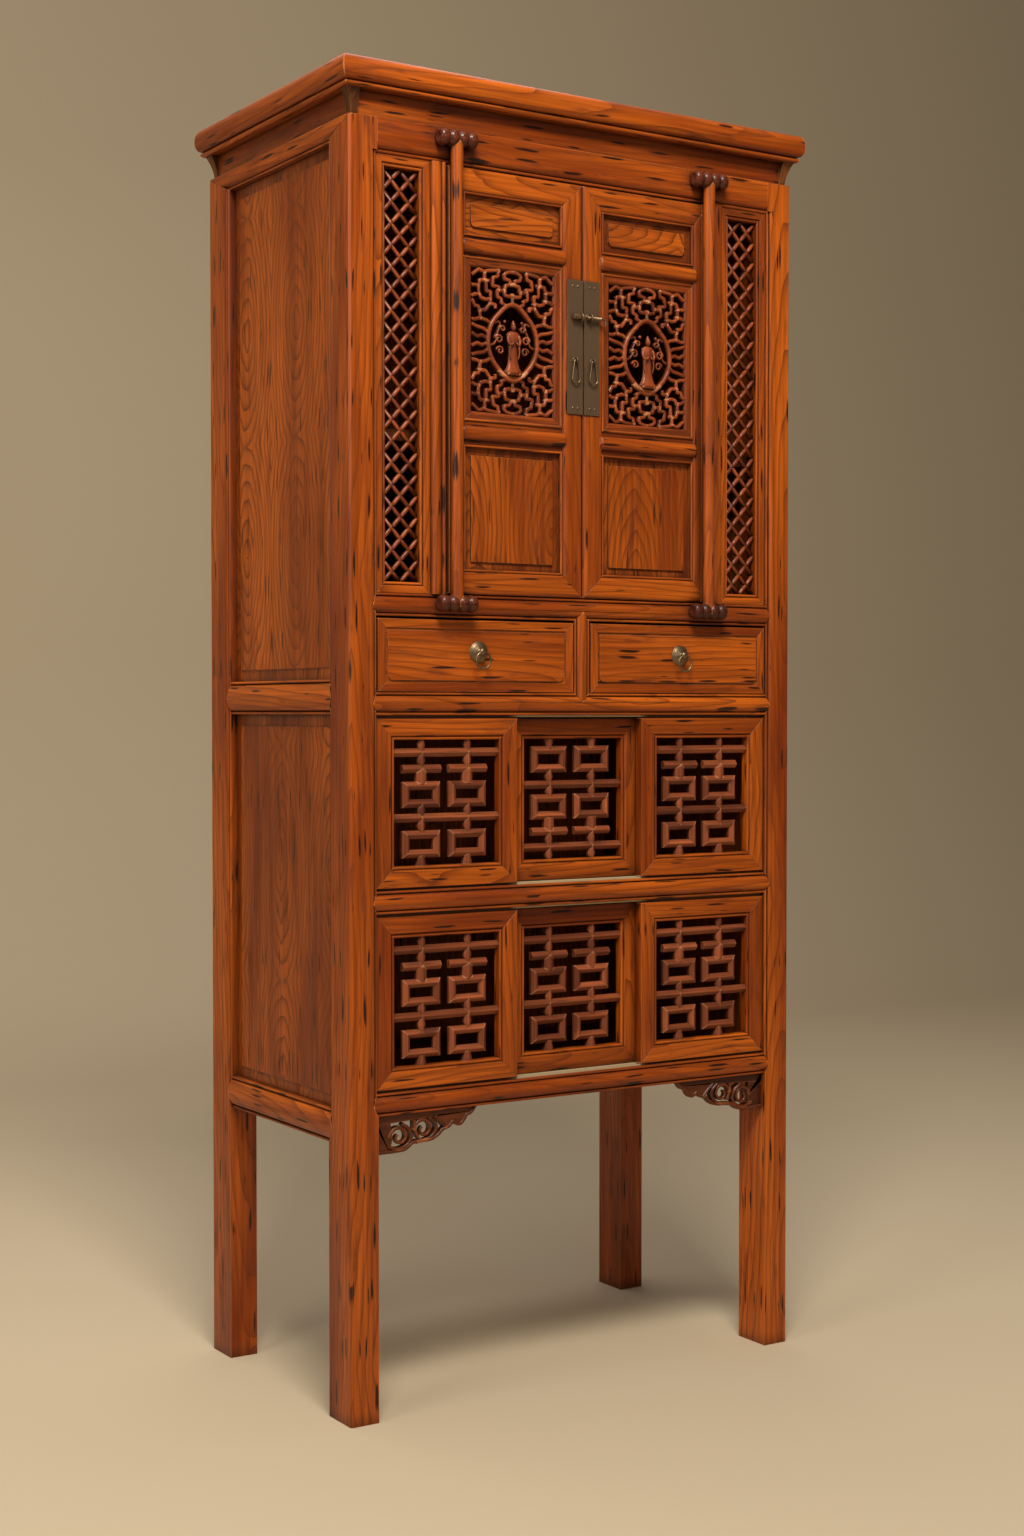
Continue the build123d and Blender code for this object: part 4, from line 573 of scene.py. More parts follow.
def posts():
    """Square posts, with a bead down the inner edge of each face where rails meet it."""
    front_low, front_high = heights("bottom_rail")[0] + 0.016, heights("top_rail")[0] + 0.003
    side_low, side_high = heights("side_rails")[0] + 0.024, FRAME_TOP - 0.025
    nudge = 0.0003
    levels = ((FLOOR_Z, 0, 0), (side_low, 0, 0), (side_low + nudge, 0, 1), (front_low, 0, 1),
              (front_low + nudge, 1, 1), (front_high, 1, 1), (front_high + nudge, 0, 1), (side_high, 0, 1),
              (side_high + nudge, 0, 0), (FRAME_TOP, 0, 0))
    for name, sign in SIDES:
        for place, y, into in (("front", FRONT, 1), ("back", BACK, -1)):
            node = f"{place}_{name}_post"
            offset = fresh_grain()
            with Piece(node + "_timber", "cabinet", frame_wood, "frame_wood", [node], NOTCHED_ARRIS) as piece:
                rings = []
                for z, on_front, on_side in levels:
                    plan = post_plan(on_front if place == "front" else 0, on_side)
                    rings.append([(Vector((sign * (HALF - x), y + into * d, z)), Vector((z, d, x)) + offset)
                                  for x, d in plan])
                piece.loft(rings)
            timber = Matrix.Translation(offset) @ lay((sign * HALF, y, 0), Z, into * Y, -sign * X).inverted()
            notch(piece.object, tongue_seats(sign, place), timber)


def seat(outline, place):
    """A prism to cut a seat with: (along, across) points, from just outside a face to the seat's depth."""
    mesh = bmesh.new()
    skin(mesh, [[mesh.verts.new(place @ Vector((along, depth, across))) for along, across in outline]
                for depth in (-0.002, SEAT_DEPTH)])
    bmesh.ops.recalc_face_normals(mesh, faces=mesh.faces)
    return finished("seat", mesh, smooth=False)


def tongue_cut(height, reach=TONGUE):
    """The outline of a pointed notch, from just outside a board's edge."""
    return (-OVERCUT, 0), (reach, height / 2), (-OVERCUT, height)


def notch(thing, tools, timber):
    """Cuts tools out of a piece, softens it and removes them. timber leads from a place to its grain."""
    thing.modifiers.clear()
    for tool in tools:
        cut = thing.modifiers.new("notch", "BOOLEAN")
        cut.object = tool
        cut.solver = "EXACT"
    bpy.context.view_layer.update()
    carved = bpy.data.meshes.new_from_object(thing.evaluated_get(bpy.context.evaluated_depsgraph_get()))
    thing.modifiers.clear()
    for vert, grain in zip(carved.vertices, carved.attributes["grain"].data):
        grain.vector = timber @ vert.co
    thing.data = carved
    for tool in tools:
        bpy.data.objects.remove(tool)
    soften(thing, NOTCHED_ARRIS)


def side_rail_places():
    """Foot and height of the three rails of a side, from the lowest up."""
    low, high = heights("side_rails")
    top_height = 0.027
    return (low, 0.048), (heights("drawer_rail")[0] + 0.001, 0.049), (high - top_height, top_height)


def tongue_seats(sign, place):
    """The notches of a post: the front rails' points on its front, and the side rails' points and mitre."""
    tools = []
    if place == "front":
        for rail in FRONT_RAILS:
            z0, z1 = heights(rail)
            tools.append(seat(tongue_cut(z1 - z0), lay((sign * INNER, FRONT, z0), sign * X, Y, Z)))
    y, towards = (POST_BACK, -Y) if place == "front" else (BACK - POST_DEPTH, Y)
    low, middle, top = side_rail_places()
    mitre = ((-OVERCUT, 0), (POST_DEPTH + 0.002, top[1]), (-OVERCUT, top[1] + 0.002))
    for z, outline in ((low[0], tongue_cut(low[1])), (middle[0], tongue_cut(middle[1])), (top[0], mitre)):
        tools.append(seat(outline, lay((sign * HALF, y, z), towards, -sign * X, Z)))
    return tools


def front_rails():
    """Swelling rails whose points lap the posts, and a flatter top rail."""
    for rail in FRONT_RAILS:
        z0, z1 = heights(rail)
        cut = pointed(z1 - z0, TONGUE)
        with Piece(rail + "_timber", "cabinet", frame_wood, "frame_wood", [rail], 0.0005) as piece:
            piece.beam(lay((-INNER, FRONT, z0), X, Y, Z), 2 * INNER,
                       rail_section(z1 - z0, RAIL_DEPTH), cut, cut)
        if rail in ("drawer_rail", "door_rail"):
            notch(piece.object, [divider_seat(rail)], piece.timber)
    z0, z1 = heights("top_rail")
    with Piece("top_rail_timber", "cabinet", frame_wood, "frame_wood", ["top_rail"]) as piece:
        piece.beam(lay((-INNER, FRONT, z0), X, Y, Z), 2 * INNER, edged_section(z1 - z0, RAIL_DEPTH, 0.005))


def divider_seat(rail):
    """The notch that a rail gives to the divider's pointed end."""
    x0, x1, _, _, low, high = span("drawer_divider")
    up = rail == "door_rail"
    z = high - DIVIDER_TONGUE if up else low + DIVIDER_TONGUE
    return seat(tongue_cut(x1 - x0, DIVIDER_TONGUE), lay((x0, FRONT, z), Z if up else -Z, Y, X))


def divider():
    """The upright between the drawers, pointed at both ends."""
    x0, x1, _, _, z0, z1 = span("drawer_divider")
    cut = pointed(x1 - x0, DIVIDER_TONGUE)
    with Piece("divider_timber", "cabinet", frame_wood, "frame_wood", ["drawer_divider"], 0.0005) as piece:
        piece.beam(lay((x0, FRONT, z0 + DIVIDER_TONGUE), Z, Y, X), z1 - z0 - 2 * DIVIDER_TONGUE,
                   rail_section(x1 - x0, RAIL_DEPTH), cut, cut)


def sides():
    """Side rails with pointed tongues, the top one mitred over both posts, and panels with a sunk margin."""
    length = BACK - FRONT - 2 * POST_DEPTH
    places = side_rail_places()
    top_z, top_height = places[2]

    def mitre(across):
        return -POST_DEPTH * across / top_height

    with Piece("side_rail_timbers", "cabinet", frame_wood, "frame_wood", ["side_rails"], 0.0005) as piece:
        for _, sign in SIDES:
            for z, height in places[:2]:
                cut = pointed(height, TONGUE)
                piece.beam(lay((sign * HALF, POST_BACK, z), Y, -sign * X, Z), length,
                           rail_section(height, 0.03, 2.8), cut, cut)
            piece.beam(lay((sign * HALF, POST_BACK, top_z), Y, -sign * X, Z), length,
                       edged_section(top_height, SEAT_DEPTH, 0.004), mitre, mitre)
            backing = sorted((sign * (HALF - 0.03), sign * (HALF - 0.01)))
            piece.block(*backing, POST_BACK, BACK - POST_DEPTH, top_z, top_z + top_height, along=Y)
    with Piece("side_panel_boards", "cabinet", panel_wood, "panel_wood", ["side_panels"]) as piece:
        for _, sign in SIDES:
            for (z, height), (top, _) in zip(places, places[1:]):
                foot = lay((sign * HALF, POST_BACK, z + height), Z, -sign * X, Y)
                panel(piece, foot, top - z - height, length)


def panel(piece, place, height, width):
    """An upright board whose field stands a little proud of its margin."""
    front, back, margin, rebate, lap = 0.012, 0.022, 0.017, 0.0016, 0.001
    piece.beam(place, height, ((front + rebate, 0), (back, 0), (back, width), (front + rebate, width)))
    field = ((front, margin), (back - lap, margin), (back - lap, width - margin), (front, width - margin))
    piece.beam(place @ Matrix.Translation((margin, 0, 0)), height - 2 * margin, field)


def cap():
    """Bull-nosed members mitred round a sunk panel, with a thin bead beneath."""
    x0, x1, y0, y1, z0, z1 = span("cap")
    height, member, lip = z1 - z0, 0.07, 0.0095

    def section(width):
        nose = [(down, inset) for inset, down in belly(0.0, height - 0.0065, 0.012, 2.3)]
        roll = arc((height - 0.0035, lip), 0.0028, 180, 360, 6)
        return [(0, width)] + nose + roll + [(height, lip), (height, width)]

    inside = member + 0.0005
    with Piece("cap_timbers", "cabinet", frame_wood, "frame_wood", ["cap"]) as piece:
        piece.mitred((x0, y0, z1), x1 - x0, y1 - y0, (member,) * 4, section, up=Y, depth=-Z)
        piece.block(x0 + inside, x1 - inside, y0 + inside, y1 - inside, z1 - 0.018, z1 - 0.004)


def frieze():
    """Set-back boards under the cap, and a flared block at each corner."""
    z0, z1 = heights("frieze")
    setback, thickness = 0.008, 0.014
    x, front, back = HALF - setback, FRONT + setback, BACK - setback
    with Piece("frieze_boards", "cabinet", frame_wood, "frame_wood", ["frieze"]) as piece:
        piece.mitred((-x, front, z1), 2 * x, back - front, (thickness,) * 4,
                     lambda w: ((0, 0), (z1 - z0, 0), (z1 - z0, w), (0, w)), up=Y, depth=-Z)
    with Piece("corbels", "cabinet", corbel_wood, "frame_wood") as piece:
        for _, sign in SIDES:
            for y, into in ((FRONT, 1), (BACK, -1)):
                corbel(piece, sign, y, into, z0, z1)


def corbel(piece, sign, y, into, z0, z1):
    """A block that flares from the corner of the frame out to the cap."""
    steps = 6
    rings = []
    for share in [step / steps for step in range(steps + 1)]:
        flare = share ** 1.8
        reach, size = -0.006 + 0.010 * flare, 0.011 + 0.009 * flare
        outer_x, outer_y, z = HALF + reach, y - into * reach, z0 + (z1 - z0) * share
        rings.append([Vector((sign * (outer_x - dx), outer_y + into * dy, z))
                      for dx, dy in ((0, 0), (size, 0), (size, size), (0, size))])
    piece.board(rings, upright=True)


# ---------------------------------------------------------------- grilles and door posts
GRILLE_BORDER = 0.016
GRILLE_BEAD = 0.0045
STRIP_SECTION = mirrored(((0.0027, -0.006), (0.0027, -0.0016), (0.0012, -0.0004)))
SPINDLE_SECTION = mirrored(((0.0034, -0.003), (0.0030, -0.0004), (0.0014, 0.0014)))


def grille_edge(width):
    """A grille's border, with a bead along its inner edge."""
    inner = width - GRILLE_BEAD
    return ([(0.016, 0), (0.0006, 0), (0, 0.0006), (0, inner - 0.0015), (0.0022, inner - 0.0003)]
            + bead(inner, 0.0012, GRILLE_BEAD) + [(0.016, width)])


def grilles():
    """A mitred frame with an inner bead, whole strips one way and spindle-like segments the other way."""
    for name, _ in SIDES:
        node = name + "_grille"
        x0, x1, y0, _, z0, z1 = span(node)
        with Piece(node + "_frame", "cabinet", frame_wood, "frame_wood", [node], 0.0004) as piece:
            piece.mitred((x0, y0, z0), x1 - x0, z1 - z0, (GRILLE_BORDER,) * 4, grille_edge)
        window = (x0 + GRILLE_BORDER, x1 - GRILLE_BORDER, z0 + GRILLE_BORDER, z1 - GRILLE_BORDER)
        with Piece(node + "_lattice", "cabinet", carved_wood, "carved_wood", (), 0) as piece:
            lattice(piece, window, y0 + 0.0075)


def lattice(piece, window, front):
    """Strips that fall to the right, and spindles that rise to the right."""
    x0, x1, z0, z1 = window
    diamonds = 19
    width, step = x1 - x0, (z1 - z0) / diamonds
    for index in range(-2, diamonds + 1):
        low = z0 + index * step
        strip = clip((x0, low + 2 * step), (x1, low), z0, z1)
        if strip:
            piece.strand(front_path(strip, front), STRIP_SECTION)
        for quarter in range(4):
            from_share, to_share = quarter / 4, (quarter + 1) / 4
            spindle = clip((x0 + width * from_share, low + 2 * step * from_share),
                           (x0 + width * to_share, low + 2 * step * to_share), z0, z1)
            if spindle:
                foot, head = front_path(spindle, front)
                piece.strand([foot.lerp(head, t) for t in (0.04, 0.2, 0.5, 0.8, 0.96)], SPINDLE_SECTION,
                             taper=lambda t: 0.55 + 0.45 * math.sin(math.pi * t) ** 0.5)


def clip(a, b, low, high):
    """The part of a slanted line between two heights, or None."""
    (xa, za), (xb, zb) = a, b
    shares = sorted(max(0.0, min(1.0, (level - za) / (zb - za))) for level in (low, high))
    if shares[1] - shares[0] < 0.02:
        return None
    return [(xa + (xb - xa) * t, za + (zb - za) * t) for t in shares]


def door_posts():
    """Uprights beside the grilles, worked as a broad reed beside a narrow one."""
    _, x1, _, _, z0, z1 = span("door_posts")
    width, depth = 0.024, 0.036
    reeds = belly(0.0, 0.016, 0.004, 2.6, 10) + belly(0.0165, width, 0.0035, 2.2, 8)
    section = [(depth, 0)] + reeds + [(depth, width)]
    with Piece("door_post_timbers", "cabinet", frame_wood, "frame_wood", ["door_posts"], 0.0004) as piece:
        for _, sign in SIDES:
            piece.beam(lay((sign * x1, FRONT, z0), Z, Y, -sign * X), z1 - z0, section)


def sockets():
    """Lobed blocks that hold the ends of the pivot rods."""
    z0, z1 = heights("pivot_sockets")
    pivot = joint_place("right_door_hinge")
    radius, waist, length, lobes, steps = 0.0125, 0.0088, 0.060, 4, 10
    end = ((0.0018, 0.0012), (0.0012, 0.004), (0.0006, 0.0065))
    profile = list(end)
    for i in range(lobes * steps + 1):
        swell = abs(math.sin(math.pi * i / steps)) ** 0.6
        profile.append((length * i / (lobes * steps), waist + (radius - waist) * swell))
    profile += [(length - along, girth) for along, girth in reversed(end)]
    with Piece("socket_blocks", "cabinet", socket_wood, "socket_wood", ["pivot_sockets"], 0) as piece:
        for _, sign in SIDES:
            for z in (z0 + radius, z1 - radius):
                piece.turned((sign * pivot.x - length / 2, pivot.y, z), X, profile, 28)


# ---------------------------------------------------------------- door leaves
LEAF_SETBACK = 0.002
LEAF_BEAD = 0.0035
MEETING_EDGE, HINGE_EDGE = 0.0007, 0.228
ROD_RADIUS = 0.009
RAIL_SINK = 0.0035
LEAF_TOP_RAIL, LEAF_UPPER_RAIL, LEAF_LOWER_RAIL, LEAF_BOTTOM_RAIL = 0.033, 0.027, 0.033, 0.032
LEAF_TOP_OPENING, LEAF_FRET_OPENING = 0.062, 0.232


def leaves():
    """The two door leaves with their hardware. opening is the near and far edge of a leaf's openings."""
    front = FRONT + LEAF_SETBACK
    for name, sign in SIDES:
        body = name + "_door"
        opening = sorted(abs(x) for x in span(body + "_panels")[:2])
        z0, z1 = heights(body + "_rails")
        leaf_timbers(body, sign, opening, z0, z1, front)
        leaf_panels(body, sign, opening, z0, z1, front)
        leaf_fret(body)
        lock_plate(name, sign)
        drop_pull(name)
    bolt()


def leaf_timbers(body, sign, opening, z0, z1, front):
    """The mitred frame with its pivot rod, and the half-round middle rails that lap the stiles."""
    inner, outer = opening
    x0, x1 = sorted((sign * inner, sign * outer))
    left, right = sorted((sign * MEETING_EDGE, sign * HINGE_EDGE))
    stiles = (inner - MEETING_EDGE, HINGE_EDGE - outer)[::sign]
    pivot = joint_place("right_door_hinge")
    rod_low, rod_high = heights(body + "_stiles")
    nodes = [body + "_stiles", body + "_rails"]
    with Piece(body + "_frame", body, frame_wood, "frame_wood", nodes, 0.0006) as piece:
        piece.mitred((left, front, z0), right - left, z1 - z0, (*stiles, LEAF_BOTTOM_RAIL, LEAF_TOP_RAIL),
                     lambda w: [(0.02, 0)] + belly(0, w, 0.0028, 3.0) + [(0.02, w)])
        rod = [Vector((sign * pivot.x, pivot.y, z)) for z in (rod_low + 0.012, rod_high - 0.010)]
        piece.strand(rod, circle(ROD_RADIUS, 28))
        neck = sorted((sign * (pivot.x - ROD_RADIUS / 2), sign * (pivot.x + ROD_RADIUS / 2)))
        piece.block(*neck, pivot.y, front + 0.02, z0, z1, along=Z)
        for low, high in middle_rails(z1):
            back = ((0.019, 0), (RAIL_SINK, 0), (RAIL_SINK, high - low), (0.019, high - low))
            piece.beam(lay((x0, front, low), X, Y, Z), x1 - x0, back)
            half_round(piece, x0 - 0.006, x1 + 0.006, front, (low + high) / 2)
        for low, high in leaf_openings(z0, z1):
            piece.mitred((x0, front + 0.0012, low), x1 - x0, high - low, (LEAF_BEAD,) * 4,
                         lambda w: [(0.008, 0)] + bead(0, 0, LEAF_BEAD) + [(0.008, w)])


def middle_rails(z1):
    """Foot and head of the two middle rails of a leaf, from the top down."""
    upper = z1 - LEAF_TOP_RAIL - LEAF_TOP_OPENING
    lower = upper - LEAF_UPPER_RAIL - LEAF_FRET_OPENING
    return (upper - LEAF_UPPER_RAIL, upper), (lower - LEAF_LOWER_RAIL, lower)


def leaf_openings(z0, z1):
    """Foot and head of the three openings of a leaf, from the top down."""
    (upper_low, upper_high), (lower_low, lower_high) = middle_rails(z1)
    return (upper_high, z1 - LEAF_TOP_RAIL), (lower_high, upper_low), (z0 + LEAF_BOTTOM_RAIL, lower_low)


def half_round(piece, x0, x1, front, z):
    """A half-round with bluntly rounded ends that stands on a sunk rail and laps the stiles."""
    steps, sides, radius, proud, bluntness = 8, 14, 0.0102, 0.0045, 0.55
    turns = [math.pi / 2 * i / steps for i in range(steps + 1)]
    ends = [(radius * (1 - math.cos(turn)) * bluntness, max(0.12, math.sin(turn))) for turn in turns]
    stations = [(x0 + along, size) for along, size in ends]
    stations += [(x1 - along, size) for along, size in reversed(ends)]
    rings = []
    for x, size in stations:
        ring = []
        for angle in [math.pi * i / sides for i in range(sides + 1)]:
            out = (RAIL_SINK + proud) * math.sin(angle) ** 0.75 * size
            ring.append(Vector((x, front + RAIL_SINK - out, z - radius * math.cos(angle) * size)))
        ring.append(Vector((x, front + RAIL_SINK + 0.002, z)))
        rings.append(ring)
    piece.board(rings)


def leaf_panels(body, sign, opening, z0, z1, front):
    """Sunk boards with a raised field: the upper one rounded at its lower corners, the lower one square."""
    x0, x1 = sorted((sign * opening[0], sign * opening[1]))
    board, field, margin, square = front + 0.0085, front + 0.0057, 0.0145, 0.001
    top, _, bottom = leaf_openings(z0, z1)
    with Piece(body + "_boards", body, panel_wood, "panel_wood", [body + "_panels"], 0.0005) as piece:
        for (low, high), along, lower_radius in ((top, X, 0.007), (bottom, Z, square)):
            piece.plate(rounded(x0, x1, low, high, (0,) * 4), board, 0.009, along)
            raised = rounded(x0 + margin, x1 - margin, low + margin, high - margin,
                             (lower_radius, lower_radius, square, square))
            piece.plate(raised, field, 0.004, along)


# ---------------------------------------------------------------- the fret
# runs of the upper right quarter of the fret, as shares of the window's half width and half height
FRET_RUNS = (
    ((0.32, 1.00), (0.35, 0.955), (0.36, 0.913), (0.47, 0.89), (0.49, 0.775), (0.33, 0.765), (0.37, 0.718),
     (0.37, 0.628), (0.27, 0.60), (0.27, 0.55), (0.17, 0.515)),
    ((0.00, 1.00), (0.09, 0.99), (0.17, 0.97), (0.21, 0.94), (0.19, 0.89), (0.07, 0.875), (0.05, 0.83),
     (0.00, 0.82)),
    ((0.00, 0.82), (0.16, 0.80), (0.19, 0.73), (0.19, 0.66), (0.07, 0.645), (0.00, 0.68)),
    ((0.19, 0.72), (0.36, 0.72)),
    ((0.00, 0.68), (0.00, 0.53)),
    ((0.32, 1.00), (0.58, 0.98), (0.70, 0.955), (0.83, 0.985), (0.96, 0.91), (1.00, 0.90)),
    ((0.68, 0.955), (0.68, 0.84)),
    ((0.57, 0.84), (0.79, 0.835), (0.83, 0.76), (1.00, 0.755)),
    ((0.83, 0.76), (0.83, 0.635), (0.92, 0.63), (1.00, 0.60)),
    ((0.65, 0.84), (0.64, 0.69), (0.53, 0.685), (0.54, 0.59), (0.66, 0.57), (0.77, 0.59), (0.80, 0.635),
     (0.84, 0.635)),
    ((0.54, 0.59), (0.54, 0.525), (0.42, 0.51), (0.42, 0.46)),
    ((0.54, 0.525), (0.66, 0.42), (0.81, 0.415), (0.83, 0.465), (0.92, 0.47), (0.97, 0.54), (1.00, 0.55)),
    ((0.80, 0.42), (0.79, 0.31), (0.91, 0.28), (1.00, 0.28)),
    ((0.79, 0.305), (0.64, 0.285), (0.55, 0.25)),
    ((0.60, 0.12), (0.70, 0.165), (0.86, 0.185), (1.00, 0.215)),
    ((0.60, 0.03), (0.75, 0.07), (0.86, 0.045), (1.00, 0.09)),
)
BAR_SECTION = mirrored(((0.0027, -0.008), (0.0027, -0.0016), (0.0017, -0.0004)), 0.0)
RING_SECTION = mirrored(((0.0032, -0.008), (0.0032, -0.001), (0.002, 0.0004)), 0.001)
FRET_BORDER = 0.015


def fret_edge(width):
    """A flat border whose inner edge slopes down to the fret."""
    return ((0.009, 0), (0.0, 0), (0.0, width - 0.003), (0.0015, width - 0.0012), (0.003, width),
            (0.009, width))


def leaf_fret(body):
    """A mitred border round the pierced fret, whose pointed oval holds a small robed figure among scrolls."""
    x0, x1, y0, _, z0, z1 = span(body + "_fret")
    with Piece(body + "_fret_border", body, shaded_border_wood, "carved_wood", (), 0.0005) as piece:
        piece.mitred((x0, y0, z0), x1 - x0, z1 - z0, (FRET_BORDER,) * 4, fret_edge)
    centre = Vector(((x0 + x1) / 2, y0 + 0.0005, (z0 + z1) / 2))
    half_width, half_height = (x1 - x0) / 2 - FRET_BORDER, (z1 - z0) / 2 - FRET_BORDER
    with Piece(body + "_fretted_panel", body, carved_wood, "carved_wood", [body + "_fret"], 0) as piece:
        for run in FRET_RUNS:
            for reach_x in (-half_width, half_width):
                for reach_z in (-half_height, half_height):
                    path = [centre + Vector((reach_x * a, 0, reach_z * b)) for a, b in run]
                    piece.strand(flowing(path, share=0.08), BAR_SECTION)
        medallion(piece, centre, 0.0415, 0.048)
        scrolls(piece, centre)
    with Piece(body + "_figure", body, carved_wood, "carved_wood", (), 0) as piece:
        figure(piece, centre + Vector((0, 0.0005, -0.0015)))


def medallion(piece, centre, half_width, half_height):
    """The pointed oval ring, with a crescent at its foot."""
    ring = []
    for across, up in [(math.sin(math.pi * i / 22), math.cos(math.pi * i / 22)) for i in range(44)]:
        lift = 1 + 0.13 * max(0.0, abs(up) - 0.8) / 0.2
        aside = across * half_width * (1 - 0.1 * up ** 4)
        ring.append(centre + Vector((aside, -0.001, up * half_height * lift)))
    piece.strand(ring, RING_SECTION, wrap=True)
    crescent = []
    for turn in [math.radians(a) for a in range(-70, 71, 14)]:
        drop = half_height * (0.72 + 0.30 * math.cos(turn))
        crescent.append(centre + Vector((half_width * 0.62 * math.sin(turn), -0.0015, -drop)))
    piece.strand(crescent, BAR_SECTION)


def spiral(start, turns, radius, flip):
    """Points of a scroll that winds in from its outer end."""
    points = []
    steps = int(14 * turns)
    for i in range(steps + 1):
        t = i / steps
        angle = t * turns * math.tau
        reach = radius * (1 - 0.72 * t)
        points.append(start + Vector((flip * reach * math.cos(angle), 0, reach * math.sin(angle))))
    return points


def scrolls(piece, centre):
    """Foliage scrolls between the figure and the ring."""
    thin = [(a * 0.62, out) for a, out in BAR_SECTION]
    for flip in (-1, 1):
        for x, z, radius, turns in ((0.023, 0.004, 0.0065, 1.3), (0.021, -0.012, 0.0062, 1.2),
                                    (0.017, 0.019, 0.0048, 1.1)):
            start = centre + Vector((flip * x, 0, z))
            piece.strand(spiral(start, turns, radius, flip), thin, taper=lambda t: 1 - 0.35 * t)
        stem = [centre + Vector((flip * x, 0.0008, z)) for x, z in
                ((0.037, -0.006), (0.028, -0.002), (0.026, 0.012), (0.020, 0.022), (0.022, 0.030),
                 (0.030, 0.026))]
        piece.strand(flowing(stem), thin)
        bud = centre + Vector((flip * 0.0145, -0.0005, 0.029))
        piece.turned(bud, -Y, [(-0.004, 0.0006), (-0.002, 0.0022), (0.0005, 0.0024), (0.0018, 0.0008)], 10)


# height from the middle of the figure, and half width
ROBE = ((-0.043, 0.0135), (-0.040, 0.0150), (-0.034, 0.0105), (-0.025, 0.0082), (-0.012, 0.0072),
        (0.000, 0.0084), (0.009, 0.0104), (0.014, 0.0100), (0.017, 0.0062), (0.0185, 0.0028))


def figure(piece, foot):
    """A small standing figure of no one in particular, in a pleated robe with folded sleeves, on petals."""
    rings = []
    for height, half in ROBE:
        ring = []
        for i in range(40):
            angle = math.tau * i / 40
            pleat = 1 + 0.07 * math.cos(9 * angle + height * 260)
            reach = half * pleat
            ring.append(foot + Vector((reach * math.cos(angle), -0.45 * reach * math.sin(angle), height)))
        rings.append(ring)
    piece.board(rings, upright=True)
    cord = circle(0.0021, 8)
    for flip in (-1, 1):
        sleeve = [foot + Vector((flip * x, y, z)) for x, y, z in
                  ((0.0085, -0.001, 0.012), (0.0105, -0.003, 0.004), (0.0075, -0.005, -0.003),
                   (0.002, -0.0058, 0.001))]
        piece.strand(flowing(sleeve), cord, taper=lambda t: 1.25 - 0.35 * t)
        hem = [foot + Vector((flip * x, y, z)) for x, y, z in
               ((0.0075, -0.0045, -0.004), (0.0085, -0.0042, -0.014), (0.0060, -0.0042, -0.022))]
        piece.strand(flowing(hem), cord, taper=lambda t: 0.75 - 0.45 * t)
    head(piece, foot + Vector((0, -0.0012, 0.0232)), 0.0048)
    for x in (-0.009, -0.0045, 0.0, 0.0045, 0.009):
        petal = foot + Vector((x, -0.0025, -0.0425 - 6 * x * x))
        piece.turned(petal, -Y, [(-0.003, 0.001), (-0.001, 0.0027), (0.001, 0.0026), (0.0024, 0.0008)], 10)


def head(piece, centre, radius):
    """An oval head with a nose, closed eyes and a small mouth on plain proportions, and a topknot."""

    def bump(across, up, x, z, width, height):
        return math.exp(-((across - x) / width) ** 2 - ((up - z) / height) ** 2)

    rings = []
    for polar in [math.pi * i / 18 for i in range(1, 18)]:
        ring = []
        for j in range(24):
            angle = math.tau * j / 24
            across, out = math.sin(polar) * math.cos(angle), math.sin(polar) * math.sin(angle)
            up = math.cos(polar)
            relief = 0.0
            if out > 0:
                nose, mouth = bump(across, up, 0, -0.08, 0.13, 0.20), bump(across, up, 0, -0.48, 0.22, 0.07)
                socket = bump(abs(across), up, 0.36, 0.10, 0.20, 0.10)
                eyelid = bump(abs(across), up, 0.36, 0.06, 0.16, 0.06)
                relief = 0.22 * nose + 0.07 * mouth - 0.10 * socket + 0.06 * eyelid
            ring.append(centre + Vector((across * 0.82, -(out * 0.9 + relief), up * 1.12)) * radius)
        rings.append(ring)
    piece.board(rings)
    piece.turned(centre + Vector((0, 0.0006, radius * 0.85)), Z,
                 [(0, radius * 0.7), (radius * 0.3, radius * 0.62), (radius * 0.55, radius * 0.34),
                  (radius * 0.9, radius * 0.40), (radius * 1.25, radius * 0.12)], 14)


# ---------------------------------------------------------------- lock, bolt and pulls
# turned profiles: (distance along the axis, radius)
RIVET = ((-0.0002, 0.0021), (0.0004, 0.0019), (0.0009, 0.0013), (0.0012, 0.0004))
STAPLE_BOSS = ((-0.0006, 0.0058), (0.0006, 0.0052), (0.0014, 0.0034))
EYE_BOSS = ((-0.0004, 0.0046), (0.0006, 0.0042), (0.0012, 0.0024))
# a keeper that is open towards the bolt
BARREL = ((0.0150, 0.00285), (0.0, 0.0029), (0.0002, 0.0040), (0.002, 0.0042), (0.004, 0.0036),
          (0.015, 0.0036), (0.017, 0.0042), (0.0188, 0.0040), (0.019, 0.0026))
SHANK_RADIUS = 0.0026
SHANK = ((0, 0.0020), (0.0006, SHANK_RADIUS), (0.0236, SHANK_RADIUS), (0.024, 0.0031), (0.0256, 0.0031),
         (0.026, 0.0018))
ROSETTE = ((-0.001, 0.0150), (0.0008, 0.0152), (0.0018, 0.0146), (0.0020, 0.0136), (0.0030, 0.0124),
           (0.0046, 0.0098), (0.0056, 0.0066), (0.0064, 0.0056), (0.0066, 0.0040), (0.0080, 0.0032),
           (0.0096, 0.0034), (0.0104, 0.0044), (0.0118, 0.0052), (0.0132, 0.0050), (0.0144, 0.0040),
           (0.0152, 0.0024), (0.0154, 0.0006))
DROP_WIRE = 0.00105


